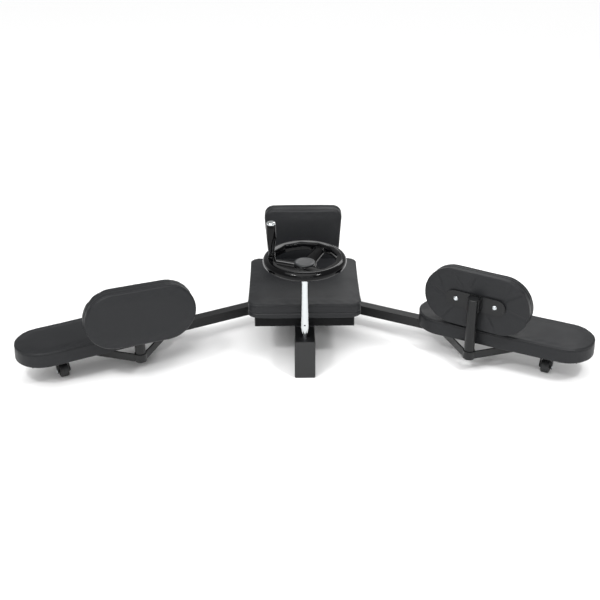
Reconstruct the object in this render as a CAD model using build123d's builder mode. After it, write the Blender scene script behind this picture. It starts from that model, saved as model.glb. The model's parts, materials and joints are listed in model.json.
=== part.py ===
from build123d import *

# A seated leg-stretching machine: a short box beam on the floor carries a seat, a backrest and a
# handwheel on a vertical stem. The wheel turns a bevel pair, a lead screw and a double rack, and
# the rack swings two long arms on vertical pivots. Each arm carries a leg pad, a caster and a
# swivelling oval pad on a V brace.
#
# Millimetres. +X is the sitter's left (the right-hand side seen from the handwheel), +Y runs from
# the handwheel to the backrest, +Z is up. The origin is where the stem's axis meets the floor.

import os
from math import cos, pi, radians, sin, tan

os.makedirs("parts", exist_ok=True)

RIGHT, LEFT = 1, -1

# ---- Clearances -----------------------------------------------------------------------------
running_fit = 0.05      # radial, shaft in hole
face_gap = 0.3          # between faces of pieces that move against each other
slot_gap = 1.0          # around the gears where they pass the beam's walls
fusing = 0.5            # a tooth's root reaches this far into its gear's body

# ---- Box beam -------------------------------------------------------------------------------
beam_width = 50.0
beam_height = 100.0
beam_wall = 3.0
beam_corner = 4.0
beam_length = 400.0
stem_setback = 21.0     # from the beam's front face to the stem's axis
cap_plate = 3.0
cap_rim = 3.0           # thickness of the caps' rims inside the beam
front_plug = 1.0        # depth of the front cap's rim, short because of the gears
cap_plug = 12.0         # and of the rear cap's
top_hole_d = 25.0       # the stem's hole in the beam
bush_depth = 6.0        # of the bush in that hole, below the beam's wall
bush_flange = 4.0       # radial, under the wall
bush_sunk = 1.0         # of its top face, below the beam's top
foot_bearing = 12.0     # height of the bearing under the shaft
foot_bearing_wall = 5.0
foot_bearing_floor = 3.0

# ---- Stem and handwheel ---------------------------------------------------------------------
shaft_d = 10.0
stem_d = 18.0
stem_end_d = 11.2       # lower end of the stem's taper
stem_foot = 8.0         # height of the stem's lower end above the beam
stem_taper = 21.0
pin_d = 4.0
pin_rise = 31.0         # of the cross pin above the stem's lower end
pin_inset = 1.0         # of the pin's ends below the stem's widest line
wheel_d = 194.0
rim_d = 22.0
rim_height = 307.0      # of the rim's centre above the floor
hub_d = 49.0
hub_foot_d = 28.0
hub_length = 24.0
hub_drop = 6.0          # of the hub's top below the rim's centre
hub_roof = 5.0          # left above the stem's end
hub_collar = 8.0        # straight part of the hub at either end of its cone
hub_cap_d = 42.0
hub_cap_thickness = 3.0
spoke_angles = (180, 60, 300)
spoke_root = (25.0, 16.0)       # width and height at the hub
spoke_tip = (20.0, 13.0)        # and at the rim
spoke_corners = (6.0, 5.0)
spoke_drops = (12.0, 2.0)       # of the spoke's axis, below the hub's top and the rim's centre
grip_reach = 76.0               # from the wheel's axis to the grip's
grip_length = 78.0
grip_d = 20.5
grip_foot_d = 13.0
grip_waist = (0.2, 1.2)         # share of the length, and how much wider than the foot
grip_shoulder = (0.93, 0.6)     # share of the length, and how much narrower than the belly
grip_belly = 0.66               # share of the length
grip_mouth = 2.0                # how much narrower the top end is, radially
grip_rise = 1.5                 # of the grip's foot above the rim
spindle_d = 8.0
spindle_head_d = 20.0
spindle_sunk = 9.0              # below the rim's centre
spindle_head = 5.5

# ---- Screw drive inside the beam --------------------------------------------------------------
screw_height = 55.0
screw_d = 16.0
journal_d = 12.0
bevel_teeth = 15
bevel_module = 2.0
bevel_face = 6.0
bevel_hub_d = 20.0
bevel_hub = 8.0
bearing_thickness = 12.0
bearing_height = 50.0
bearing_gap = 4.0       # between the bevel gear's hub and the front bearing
rear_bearing_inset = 20.0
collar_d = 20.0
collar = 5.0
rack_module = 2.0
sector_teeth = 33
rack_half_width = 12.0  # from the screw's axis to the rack's pitch line
rack_height = 11.0
nut_height = 24.0
tooth_backlash = 0.8    # of one tooth in its space, measured on the pitch line

# ---- Arms -----------------------------------------------------------------------------------
rest_angle = 27.0       # of each arm in front of the X axis, as it is shown
open_angle = 0.0
closed_angle = 60.0
pivot_x = 45.0
pivot_y = 290.0
arm_tube = 25.0
arm_wall = 2.0
arm_bottom = 42.0
arm_length = 690.0      # from the pivot to the tube's outer end
sector_thickness = 6.0
sector_tail = 75.0      # length of the plate along the arm tube
sector_tail_width = 23.0
pivot_bolt_d = 10.0
bolt_head_d = 17.0
bolt_head = 6.4
bracket_thickness = 5.0
bracket_width = 36.0

# ---- Leg pads ---------------------------------------------------------------------------------
leg_pad_start = 283.0   # from the pivot
leg_pad_length = 440.0
leg_pad_width = 140.0
leg_pad_thickness = 39.0
board = 12.0            # plywood under each cushion
board_inset = 8.0
cushion_edge = 7.0

# ---- V braces and oval pads -------------------------------------------------------------------
brace_at = 446.0        # of the post's axis, from the pivot along the arm
brace_reach = 98.0      # of the post's axis in front of the arm's axis
brace_spread = 100.0    # of each foot from the post, along the arm
brace_height = 20.0
brace_thickness = 4.0
sleeve_d = 29.0
spigot_d = 20.0
spigot_top = 120.0
spigot_chamfer = 1.5
sleeve_rise = 1.0       # of the sleeve above the bars
post_d = 25.0
post_top = 200.0
post_cap = 3.0
post_plug = 12.0        # depth of the cap's plug
oval_length = 264.0
oval_height = 145.0
oval_thickness = 35.0
oval_centre = 185.0     # above the floor
oval_turns = {RIGHT: 31.8 + 180.0, LEFT: 21.6}     # of the pads' faces, away from straight ahead
strap_length = 150.0
strap_width = 40.0
strap_thickness = 5.0
strap_bolt_pitch = 98.0
channel = 22.0          # width of the short channel between post and strap
channel_height = 34.0
channel_wall = 2.5
post_gap = 1.5          # between the post and the strap
strap_bolt_d = 8.0
strap_head_d = 14.0
strap_head = 3.0

# ---- Casters ----------------------------------------------------------------------------------
caster_at = 616.0       # from the pivot along the arm
caster_wheel_d = 32.0
caster_wheel_width = 20.0
caster_fork_width = 31.0
caster_trail = 11.0
caster_cheek = 3.0
caster_crown = 4.0
caster_pin_d = 8.0
caster_axle_d = 5.0
cheek_half = 9.0        # half the width of a cheek at the crown
cheek_drop = 3.0        # of its straight edge
cheek_toe = 7.0         # reach of a cheek round the axle
pin_room = 4.0          # above the caster's pin, inside the arm tube
tread_round = 2.0

# ---- Seat ------------------------------------------------------------------------------------
crossbar = 35.0
crossbar_wall = 2.0
crossbar_corner = 2.5
crossbar_length = 240.0
tube_cap = 2.0          # plate of a square tube's end cap
tube_plug = 10.0        # and its plug
crossbar_starts = (58.0, 225.0)
seat_width = 278.0
seat_depth = 270.0
seat_front = 34.0
seat_thickness = 37.0
seat_corner = 26.0
seat_bolt_x = 85.0
seat_bolt_d = 8.0
seat_bolt_head_d = 13.0
seat_bolt_head = 5.0
spanner_room = 1.0      # around the heads, in the crossbars' lower walls

# ---- Backrest ---------------------------------------------------------------------------------
back_gap = 4.0          # behind the seat
back_top = 301.0
back_height = 143.0
back_top_width = 204.0
back_foot_width = 184.0
back_thickness = 40.0
back_corner = 25.0
back_plate = (120.0, 90.0, 4.0)
back_plate_corner = 8.0
back_plate_centre = 225.0
back_bolt_x = 45.0
back_bolt_z = 30.0
back_bolt_d = 6.0
back_bolt_head_d = 11.0
back_bolt_head = 4.0
back_post = (40.0, 20.0)
back_post_wall = 2.0
back_post_top = 272.0

# ---- Places worked out from the sizes ---------------------------------------------------------
beam_front = -stem_setback
beam_rear = beam_front + beam_length
beam_inner_width = beam_width - 2 * beam_wall
beam_inner_height = beam_height - 2 * beam_wall
stem_bottom = beam_height + stem_foot
shaft_bottom = beam_wall + foot_bearing_floor + face_gap
rim_radius = (wheel_d - rim_d) / 2
hub_top = rim_height - hub_drop
hub_bottom = hub_top - hub_length
stem_top = hub_top - hub_roof
grip_bottom = rim_height + rim_d / 2 + grip_rise + face_gap
grip_top = grip_bottom + grip_length
bevel_cone = bevel_teeth * bevel_module / 2     # apex to large end, for a 1:1 pair
bevel_addendum = 0.8 * bevel_module
bevel_dedendum = 0.95 * bevel_module
screw_start = bevel_cone - bevel_face
front_bearing = bevel_cone + bevel_hub + bearing_gap
rear_bearing = beam_rear - cap_plug - rear_bearing_inset
rack_pitch = pi * rack_module
sector_radius = pivot_x - rack_half_width
tooth_height = rack_module
tooth_depth = 1.25 * rack_module
flank_slope = tan(radians(20))
arm_top = arm_bottom + arm_tube
sector_bottom = arm_bottom - sector_thickness
open_swing = rest_angle - open_angle
closed_swing = closed_angle - rest_angle
rack_reach = 14.0                               # teeth kept beyond the last point of contact
rack_front = pivot_y - sector_radius * radians(closed_swing) - rack_reach
rack_rear = pivot_y + sector_radius * radians(open_swing) + rack_reach
rack_bottom = sector_bottom + sector_thickness / 2 - rack_height / 2
rack_top = rack_bottom + rack_height
sleeve_top = arm_bottom + brace_height + sleeve_rise
oval_near = post_d / 2 + post_gap + strap_thickness
seat_bottom = beam_height + crossbar
seat_rear = seat_front + seat_depth
back_front = seat_rear + back_gap
back_rear = back_front + back_thickness


# ---- Planes and small helpers -----------------------------------------------------------------
def cross_section(y):
    """Plane across the beam at y; X right, Y up. A negative amount extrudes rearwards."""
    return Plane.XZ.offset(-y)


def arm_plane(side, height=0.0):
    """Plane at an arm's pivot: X runs out along the arm, Z is up."""
    swing = radians(rest_angle)
    return Plane(
        origin=(side * pivot_x, pivot_y, height),
        x_dir=(side * cos(swing), -sin(swing), 0),
        z_dir=(0, 0, 1),
    )


def ahead(side, distance):
    """The arm plane's Y of a point that far in front of the arm's axis."""
    return -side * distance


def post_plane(side, height=0.0):
    """Plane at a post's axis: -Y is the way its oval pad faces."""
    post = arm_plane(side).from_local_coords((brace_at, ahead(side, brace_reach), 0))
    turn = radians(oval_turns[side]) * side
    return Plane(
        origin=(post.X, post.Y, height),
        x_dir=(cos(turn), -sin(turn), 0),
        z_dir=(0, 0, 1),
    )


def save(sub_part, name):
    sub_part.part.label = name
    export_step(sub_part.part, f"parts/{name}.step")


def side_name(side):
    return "right" if side == RIGHT else "left"


# ---- Box beam, its caps and bearings ----------------------------------------------------------
with BuildPart() as main_beam:
    with BuildSketch(cross_section(beam_front + cap_plate)):
        with Locations((0, beam_height / 2)):
            RectangleRounded(beam_width, beam_height, beam_corner)
            Rectangle(beam_inner_width, beam_inner_height, mode=Mode.SUBTRACT)
    extrude(amount=-(beam_length - 2 * cap_plate))
    with BuildSketch(Plane.XY.offset(beam_height / 2)):
        Circle(top_hole_d / 2)
    extrude(amount=beam_height, mode=Mode.SUBTRACT)
    with BuildSketch(Plane.XY.offset(sector_bottom - slot_gap)):
        with Locations((0, pivot_y)):
            Rectangle(beam_width, 2 * (sector_radius - slot_gap))
    extrude(amount=sector_thickness + 2 * slot_gap, mode=Mode.SUBTRACT)
save(main_beam, "main_beam")

for name, face, way, plug in (
    ("front_cap", beam_front, -1, front_plug), ("rear_cap", beam_rear, 1, cap_plug),
):
    with BuildPart() as beam_cap:
        with BuildSketch(cross_section(face)):
            with Locations((0, beam_height / 2)):
                RectangleRounded(beam_width, beam_height, beam_corner)
        extrude(amount=way * cap_plate)
        with BuildSketch(cross_section(face - way * cap_plate)):
            with Locations((0, beam_height / 2)):
                Rectangle(beam_inner_width, beam_inner_height)
                Rectangle(
                    beam_inner_width - 2 * cap_rim, beam_inner_height - 2 * cap_rim,
                    mode=Mode.SUBTRACT,
                )
        extrude(amount=way * plug)
    save(beam_cap, name)

with BuildPart() as stem_bush:
    with BuildSketch(Plane.XY.offset(beam_height - beam_wall - bush_depth)):
        Circle(top_hole_d / 2)
        Circle(shaft_d / 2 + running_fit, mode=Mode.SUBTRACT)
    extrude(amount=beam_wall + bush_depth - bush_sunk)
    with BuildSketch(Plane.XY.offset(beam_height - beam_wall - bush_depth)):
        Circle(top_hole_d / 2 + bush_flange)
        Circle(top_hole_d / 2, mode=Mode.SUBTRACT)
    extrude(amount=bush_depth)
save(stem_bush, "stem_bush")

with BuildPart() as stem_foot_bearing:
    with BuildSketch(Plane.XY.offset(beam_wall)):
        Circle(shaft_d / 2 + foot_bearing_wall)
    extrude(amount=foot_bearing)
    with BuildSketch(Plane.XY.offset(beam_wall + foot_bearing_floor)):
        Circle(shaft_d / 2 + running_fit)
    extrude(amount=foot_bearing, mode=Mode.SUBTRACT)
save(stem_foot_bearing, "stem_foot_bearing")

with BuildPart() as screw_bearings:
    for start in (front_bearing, rear_bearing):
        with BuildSketch(cross_section(start)):
            with Locations((0, screw_height)):
                Rectangle(beam_inner_width, bearing_height)
                Circle(journal_d / 2 + running_fit, mode=Mode.SUBTRACT)
        extrude(amount=-bearing_thickness)
save(screw_bearings, "screw_bearings")


# ---- Bevel pair ---------------------------------------------------------------------------------
def bevel_gear(plane, half_pitch_turns, bore):
    """Straight bevel gear with its cone's apex at the plane's origin and its hub along +Z."""
    def scaled(radius, distance):
        return radius * distance / bevel_cone

    half_pitch_width = pi * bevel_module / 4 - tooth_backlash / 4
    with BuildPart() as tooth:
        for distance in (bevel_cone - bevel_face, bevel_cone):
            tip = scaled(bevel_cone + bevel_addendum, distance)
            root = scaled(bevel_cone - bevel_dedendum - fusing, distance)
            tip_half = scaled(half_pitch_width - bevel_addendum * flank_slope, distance)
            root_half = scaled(half_pitch_width + (bevel_dedendum + fusing) * flank_slope, distance)
            with BuildSketch(Plane.XY.offset(distance)):
                Polygon(
                    (root, -root_half), (tip, -tip_half), (tip, tip_half), (root, root_half),
                    align=None,
                )
        loft()
    with BuildPart(plane) as gear:
        for distance in (bevel_cone - bevel_face, bevel_cone):
            with BuildSketch(plane.offset(distance)):
                Circle(scaled(bevel_cone - bevel_dedendum, distance))
        loft()
        with PolarLocations(0, bevel_teeth, start_angle=half_pitch_turns * 180 / bevel_teeth):
            add(tooth.part)
        with BuildSketch(plane.offset(bevel_cone)):
            Circle(bevel_hub_d / 2)
        extrude(amount=bevel_hub)
        with BuildSketch(plane):
            Circle(bore / 2)
        extrude(amount=bevel_cone + bevel_hub, mode=Mode.SUBTRACT)
    return gear


bevel_apex = (0, 0, screw_height)
stem_gear_plane = Plane(origin=bevel_apex, x_dir=(0, 1, 0), z_dir=(0, 0, 1))
screw_gear_plane = Plane(origin=bevel_apex, x_dir=(0, 0, 1), z_dir=(0, 1, 0))
save(bevel_gear(stem_gear_plane, 0, shaft_d), "stem_bevel_gear")
save(bevel_gear(screw_gear_plane, 1, journal_d), "screw_bevel_gear")

# ---- Stem ---------------------------------------------------------------------------------------
pin_height = stem_bottom + pin_rise
with BuildPart() as drive_shaft:
    with BuildSketch(Plane.XY.offset(shaft_bottom)):
        Circle(shaft_d / 2)
    extrude(amount=stem_top - shaft_bottom)
    with BuildSketch(cross_section(-stem_d)):
        with Locations((0, pin_height)):
            Circle(pin_d / 2)
    extrude(amount=-2 * stem_d, mode=Mode.SUBTRACT)
save(drive_shaft, "drive_shaft")

with BuildPart() as stem_tube:
    with BuildSketch(Plane.XZ):
        with BuildLine():
            Polyline(
                (shaft_d / 2, stem_bottom), (stem_end_d / 2, stem_bottom),
                (stem_d / 2, stem_bottom + stem_taper), (stem_d / 2, stem_top),
                (shaft_d / 2, stem_top), close=True,
            )
        make_face()
    revolve(axis=Axis.Z)
    with BuildSketch(cross_section(-stem_d)):
        with Locations((0, pin_height)):
            Circle(pin_d / 2)
    extrude(amount=-2 * stem_d, mode=Mode.SUBTRACT)
save(stem_tube, "stem_tube")

with BuildPart() as stem_pin:
    with BuildSketch(cross_section(-stem_d / 2 + pin_inset)):
        with Locations((0, pin_height)):
            Circle(pin_d / 2)
    extrude(amount=-(stem_d - 2 * pin_inset))
save(stem_pin, "stem_pin")

# ---- Handwheel and grip -------------------------------------------------------------------------
with BuildPart() as handwheel:
    with BuildSketch(Plane.XZ):
        with Locations((rim_radius, rim_height)):
            Circle(rim_d / 2)
    revolve(axis=Axis.Z)
    for angle in spoke_angles:
        radial = Vector(1, 0, 0).rotate(Axis.Z, angle)
        inner = Plane(origin=radial * (hub_foot_d / 4) + Vector(0, 0, hub_top - spoke_drops[0]),
                      x_dir=Vector(0, 0, 1), z_dir=radial)
        outer = Plane(origin=radial * rim_radius + Vector(0, 0, rim_height - spoke_drops[1]),
                      x_dir=Vector(0, 0, 1), z_dir=radial)
        with BuildSketch(inner):
            RectangleRounded(spoke_root[1], spoke_root[0], spoke_corners[0])
        with BuildSketch(outer):
            RectangleRounded(spoke_tip[1], spoke_tip[0], spoke_corners[1])
        loft()
    with BuildSketch(Plane.XZ):
        with BuildLine():
            Polyline(
                (0, hub_bottom), (hub_foot_d / 2, hub_bottom), (hub_foot_d / 2, hub_bottom + hub_collar),
                (hub_d / 2, hub_top - hub_collar), (hub_d / 2, hub_top), (0, hub_top), close=True,
            )
        make_face()
    revolve(axis=Axis.Z)
    with BuildSketch(Plane.XY.offset(hub_bottom)):
        Circle(stem_d / 2)
    extrude(amount=stem_top - hub_bottom, mode=Mode.SUBTRACT)
    with BuildSketch(Plane.XY.offset(rim_height - rim_d)):
        with Locations((-grip_reach, 0)):
            Circle(spindle_d / 2)
    extrude(amount=2 * rim_d, mode=Mode.SUBTRACT)
save(handwheel, "handwheel")

with BuildPart() as hub_cap:
    with BuildSketch(Plane.XY.offset(hub_top)):
        Circle(hub_cap_d / 2)
    extrude(amount=hub_cap_thickness)
    fillet(hub_cap.edges().group_by(Axis.Z)[-1], hub_cap_thickness * 0.6)
save(hub_cap, "hub_cap")

with BuildPart() as grip_spindle:
    with BuildSketch(Plane.XY.offset(rim_height - spindle_sunk)):
        with Locations((-grip_reach, 0)):
            Circle(spindle_d / 2)
    extrude(amount=grip_top + face_gap - rim_height + spindle_sunk)
    with BuildSketch(Plane.XY.offset(grip_top + face_gap)):
        with Locations((-grip_reach, 0)):
            Circle(spindle_head_d / 2)
    extrude(amount=spindle_head)
    fillet(grip_spindle.edges().group_by(Axis.Z)[-1], spindle_head * 0.6)
save(grip_spindle, "grip_spindle")

grip_plane = Plane(origin=(-grip_reach, 0, grip_bottom), x_dir=(1, 0, 0), z_dir=(0, -1, 0))
with BuildPart() as grip:
    with BuildSketch(grip_plane):
        bore = spindle_d / 2 + running_fit
        with BuildLine():
            foot = Line((bore, 0), (grip_foot_d / 2, 0))
            swell = Spline(
                foot @ 1, (grip_foot_d / 2 + grip_waist[1], grip_length * grip_waist[0]),
                (grip_d / 2, grip_length * grip_belly),
                (grip_d / 2 - grip_shoulder[1], grip_length * grip_shoulder[0]),
                (grip_d / 2 - grip_mouth, grip_length),
            )
            Polyline(swell @ 1, (bore, grip_length), foot @ 0)
        make_face()
    revolve(axis=Axis((-grip_reach, 0, 0), (0, 0, 1)))
save(grip, "grip")

# ---- Lead screw, rack and nut -------------------------------------------------------------------
screw_end = rear_bearing + bearing_thickness + collar
with BuildPart() as lead_screw:
    for start, end, diameter in (
        (screw_start, front_bearing + bearing_thickness + face_gap, journal_d),
        (front_bearing + bearing_thickness + face_gap, rear_bearing - face_gap, screw_d),
        (rear_bearing - face_gap, screw_end, journal_d),
    ):
        with BuildSketch(cross_section(start)):
            with Locations((0, screw_height)):
                Circle(diameter / 2)
        extrude(amount=-(end - start))
save(lead_screw, "lead_screw")

with BuildPart() as screw_collar:
    with BuildSketch(cross_section(rear_bearing + bearing_thickness + face_gap)):
        with Locations((0, screw_height)):
            Circle(collar_d / 2)
            Circle(journal_d / 2, mode=Mode.SUBTRACT)
    extrude(amount=-(collar - face_gap))
save(screw_collar, "screw_collar")

half_tooth = rack_pitch / 4 - tooth_backlash / 4
tooth_tip = half_tooth - tooth_height * flank_slope
tooth_root = half_tooth + tooth_depth * flank_slope
with BuildPart() as double_rack:
    with BuildSketch(Plane.XY.offset(rack_bottom)):
        with Locations((0, (rack_front + rack_rear) / 2)):
            Rectangle(2 * (rack_half_width - tooth_depth), rack_rear - rack_front)
        first = int((rack_front - pivot_y) / rack_pitch) - 1
        last = int((rack_rear - pivot_y) / rack_pitch) + 1
        for count in range(first, last):
            middle = pivot_y + (count + 0.5) * rack_pitch
            if rack_front + tooth_root < middle < rack_rear - tooth_root:
                for side in (RIGHT, LEFT):
                    root_x = side * (rack_half_width - tooth_depth - fusing)
                    tip_x = side * (rack_half_width + tooth_height)
                    Polygon(
                        (root_x, middle - tooth_root), (tip_x, middle - tooth_tip),
                        (tip_x, middle + tooth_tip), (root_x, middle + tooth_root), align=None,
                    )
    extrude(amount=rack_height)
save(double_rack, "double_rack")

with BuildPart() as screw_nut:
    with BuildSketch(cross_section(rack_front)):
        with Locations((0, rack_top + nut_height / 2)):
            Rectangle(2 * (rack_half_width + tooth_height), nut_height)
        with Locations((0, screw_height)):
            Circle(screw_d / 2 + running_fit, mode=Mode.SUBTRACT)
    extrude(amount=-(rack_rear - rack_front))
save(screw_nut, "screw_nut")

# ---- Pivot brackets and bolts -------------------------------------------------------------------
bracket_levels = (sector_bottom - face_gap - bracket_thickness, arm_top + face_gap)
with BuildPart() as pivot_brackets:
    for level in bracket_levels:
        with BuildSketch(Plane.XY.offset(level)):
            for side in (RIGHT, LEFT):
                with Locations((side * (beam_width / 2 + pivot_x) / 2, pivot_y)):
                    Rectangle(pivot_x - beam_width / 2, bracket_width)
                with Locations((side * pivot_x, pivot_y)):
                    Circle(bracket_width / 2)
                    Circle(pivot_bolt_d / 2, mode=Mode.SUBTRACT)
            Rectangle(beam_width, 3 * bracket_width + 2 * pivot_y, mode=Mode.SUBTRACT)
        extrude(amount=bracket_thickness)
save(pivot_brackets, "pivot_brackets")

bolt_low = bracket_levels[0] - bolt_head
bolt_high = bracket_levels[1] + bracket_thickness
with BuildPart() as pivot_bolts:
    with BuildSketch(Plane.XY.offset(bolt_low)):
        with Locations((pivot_x, pivot_y), (-pivot_x, pivot_y)):
            Circle(pivot_bolt_d / 2)
    extrude(amount=bolt_high - bolt_low)
    for level in (bolt_low, bolt_high):
        with BuildSketch(Plane.XY.offset(level)):
            with Locations((pivot_x, pivot_y), (-pivot_x, pivot_y)):
                RegularPolygon(bolt_head_d / 2, 6, major_radius=False)
        extrude(amount=bolt_head)
save(pivot_bolts, "pivot_bolts")


# ---- Arms ---------------------------------------------------------------------------------------
def arm_tube_part(side):
    plane = arm_plane(side, arm_bottom)
    with BuildPart() as tube:
        with BuildSketch(plane):
            with Locations((arm_length / 2, 0)):
                Rectangle(arm_length, arm_tube)
            Circle(arm_tube / 2)
        extrude(amount=arm_tube)
        with BuildSketch(plane.offset(arm_wall)):
            with Locations((arm_length / 2 + arm_tube / 2, 0)):
                Rectangle(arm_length, arm_tube - 2 * arm_wall)
        extrude(amount=arm_tube - 2 * arm_wall, mode=Mode.SUBTRACT)
        with BuildSketch(plane):
            Circle(pivot_bolt_d / 2 + running_fit)
        extrude(amount=arm_tube, mode=Mode.SUBTRACT)
        with BuildSketch(plane):
            with Locations((caster_at, 0)):
                Circle(caster_pin_d / 2 + running_fit)
        extrude(amount=arm_wall, mode=Mode.SUBTRACT)
    return tube


def sector_gear(side):
    """Toothed plate welded under the arm tube; its middle tooth points at the rack at rest."""
    to_rack = 180 if side == RIGHT else 0
    tooth_angle = 360 / sector_teeth
    spare_teeth = 2
    first = -int(open_swing / tooth_angle + spare_teeth)
    last = int(closed_swing / tooth_angle + spare_teeth)
    world = Plane(origin=(side * pivot_x, pivot_y, sector_bottom), x_dir=(1, 0, 0), z_dir=(0, 0, 1))
    with BuildPart() as sector:
        with BuildSketch(world):
            Circle(sector_radius - tooth_depth)
            for count in range(-last - 1, -first + 2):
                turn = to_rack + side * count * tooth_angle
                with Locations(Location((0, 0, 0), (0, 0, turn))):
                    root = sector_radius - tooth_depth - 2 * fusing
                    tip = sector_radius + tooth_height
                    Polygon(
                        (root, -tooth_root), (tip, -tooth_tip), (tip, tooth_tip), (root, tooth_root),
                        align=None,
                    )
        extrude(amount=sector_thickness)
        with BuildSketch(arm_plane(side, sector_bottom)):
            with Locations((sector_tail / 2, 0)):
                Rectangle(sector_tail, sector_tail_width)
        extrude(amount=sector_thickness)
        with BuildSketch(world):
            Circle(pivot_bolt_d / 2 + running_fit)
        extrude(amount=sector_thickness, mode=Mode.SUBTRACT)
    return sector


def leg_pad_outline(inset):
    with Locations((leg_pad_start + leg_pad_length / 2, 0)):
        SlotOverall(leg_pad_length - 2 * inset, leg_pad_width - 2 * inset)


def leg_board(side):
    with BuildPart() as plank:
        with BuildSketch(arm_plane(side, arm_top)):
            leg_pad_outline(board_inset)
        extrude(amount=board)
    return plank


def leg_cushion(side):
    plane = arm_plane(side, arm_top)
    with BuildPart() as cushion:
        with BuildSketch(plane):
            leg_pad_outline(0)
        extrude(amount=leg_pad_thickness)
        fillet(cushion.edges().group_by(Axis.Z)[-1], cushion_edge)
        with BuildSketch(plane):
            leg_pad_outline(board_inset)
        extrude(amount=board, mode=Mode.SUBTRACT)
    return cushion


def v_brace(side):
    """A flat bar bent into a V in front of the arm, with a sleeve for the post in its corner."""
    plane = arm_plane(side, arm_bottom)
    post = (brace_at, ahead(side, brace_reach))
    with BuildPart() as brace:
        with BuildSketch(plane):
            for way in (-1, 1):
                foot = (brace_at + way * brace_spread, ahead(side, arm_tube / 2 + brace_thickness / 2))
                corner = (brace_at + way * (sleeve_d - brace_thickness) / 2, post[1])
                with BuildLine():
                    Line(foot, corner)
                    offset(amount=brace_thickness / 2)
                make_face()
            with Locations(post):
                Circle(sleeve_d / 2)
                Circle(spigot_d / 2, mode=Mode.SUBTRACT)
        extrude(amount=brace_height)
        with BuildSketch(plane):
            with Locations(post):
                Circle(sleeve_d / 2)
                Circle(spigot_d / 2, mode=Mode.SUBTRACT)
        extrude(amount=sleeve_top - arm_bottom)
    return brace


def post_spigot(side):
    plane = arm_plane(side, arm_bottom)
    with BuildPart() as spigot:
        with BuildSketch(plane):
            with Locations((brace_at, ahead(side, brace_reach))):
                Circle(spigot_d / 2)
        extrude(amount=spigot_top - arm_bottom)
        chamfer(spigot.edges().group_by(Axis.Z)[-1], spigot_chamfer)
    return spigot


# ---- Oval pads ----------------------------------------------------------------------------------
def pad_post(side):
    with BuildPart() as post:
        with BuildSketch(post_plane(side, sleeve_top + face_gap)):
            Circle(post_d / 2)
            Circle(spigot_d / 2 + running_fit, mode=Mode.SUBTRACT)
        extrude(amount=post_top - sleeve_top - face_gap)
    return post


def post_end_cap(side):
    with BuildPart() as cap:
        with BuildSketch(post_plane(side, post_top)):
            Circle(post_d / 2)
        extrude(amount=post_cap)
        fillet(cap.edges().group_by(Axis.Z)[-1], post_cap * 0.6)
        with BuildSketch(post_plane(side, post_top - post_plug)):
            Circle(spigot_d / 2)
        extrude(amount=post_plug)
    return cap


def facing_plane(side, distance):
    """Vertical plane that far in front of the post's axis, with its normal away from the post."""
    upright = post_plane(side, oval_centre)
    return Plane(
        origin=upright.from_local_coords((0, -distance, 0)),
        x_dir=upright.x_dir,
        z_dir=-upright.y_dir,
    )


def strap_bracket(side):
    """Strap with round ends, on a short channel that is welded to the post."""
    with BuildPart() as strap:
        with BuildSketch(facing_plane(side, post_d / 2 + post_gap)):
            SlotOverall(strap_length, strap_width)
            with Locations((strap_bolt_pitch / 2, 0), (-strap_bolt_pitch / 2, 0)):
                Circle(strap_bolt_d / 2, mode=Mode.SUBTRACT)
        extrude(amount=strap_thickness)
        with BuildSketch(facing_plane(side, 0)):
            Rectangle(post_d + 2 * channel_wall, channel_height)
        extrude(amount=post_d / 2 + post_gap)
        with BuildSketch(post_plane(side, oval_centre - channel_height)):
            Circle(post_d / 2)
        extrude(amount=2 * channel_height, mode=Mode.SUBTRACT)
    return strap


def strap_bolts(side):
    with BuildPart() as bolts:
        with BuildSketch(facing_plane(side, post_d / 2 + post_gap)):
            with Locations((strap_bolt_pitch / 2, 0), (-strap_bolt_pitch / 2, 0)):
                Circle(strap_bolt_d / 2)
        extrude(amount=strap_thickness + board)
        with BuildSketch(facing_plane(side, post_d / 2 + post_gap - strap_head)):
            with Locations((strap_bolt_pitch / 2, 0), (-strap_bolt_pitch / 2, 0)):
                Circle(strap_head_d / 2)
        extrude(amount=strap_head)
    return bolts


def oval_board(side):
    with BuildPart() as plank:
        with BuildSketch(facing_plane(side, oval_near)):
            SlotOverall(oval_length - 2 * board_inset, oval_height - 2 * board_inset)
            with Locations((strap_bolt_pitch / 2, 0), (-strap_bolt_pitch / 2, 0)):
                Circle(strap_bolt_d / 2, mode=Mode.SUBTRACT)
        extrude(amount=board)
    return plank


def oval_cushion(side):
    with BuildPart() as cushion:
        with BuildSketch(facing_plane(side, oval_near)):
            SlotOverall(oval_length, oval_height)
        extrude(amount=oval_thickness)
        front = facing_plane(side, oval_near + oval_thickness)
        fillet(cushion.faces().sort_by(Axis(front.origin, front.z_dir))[-1].edges(), cushion_edge)
        with BuildSketch(facing_plane(side, oval_near)):
            SlotOverall(oval_length - 2 * board_inset, oval_height - 2 * board_inset)
        extrude(amount=board, mode=Mode.SUBTRACT)
    return cushion


# ---- Casters ------------------------------------------------------------------------------------
def caster_side_plane(side, distance):
    """Vertical plane across the caster's axle, that far along the arm from the caster's middle."""
    plane = arm_plane(side)
    return Plane(
        origin=plane.from_local_coords((caster_at + distance, 0, 0)),
        x_dir=plane.y_dir,
        z_dir=plane.x_dir,
    )


axle_height = caster_wheel_d / 2
crown_bottom = arm_bottom - face_gap - caster_crown


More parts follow.
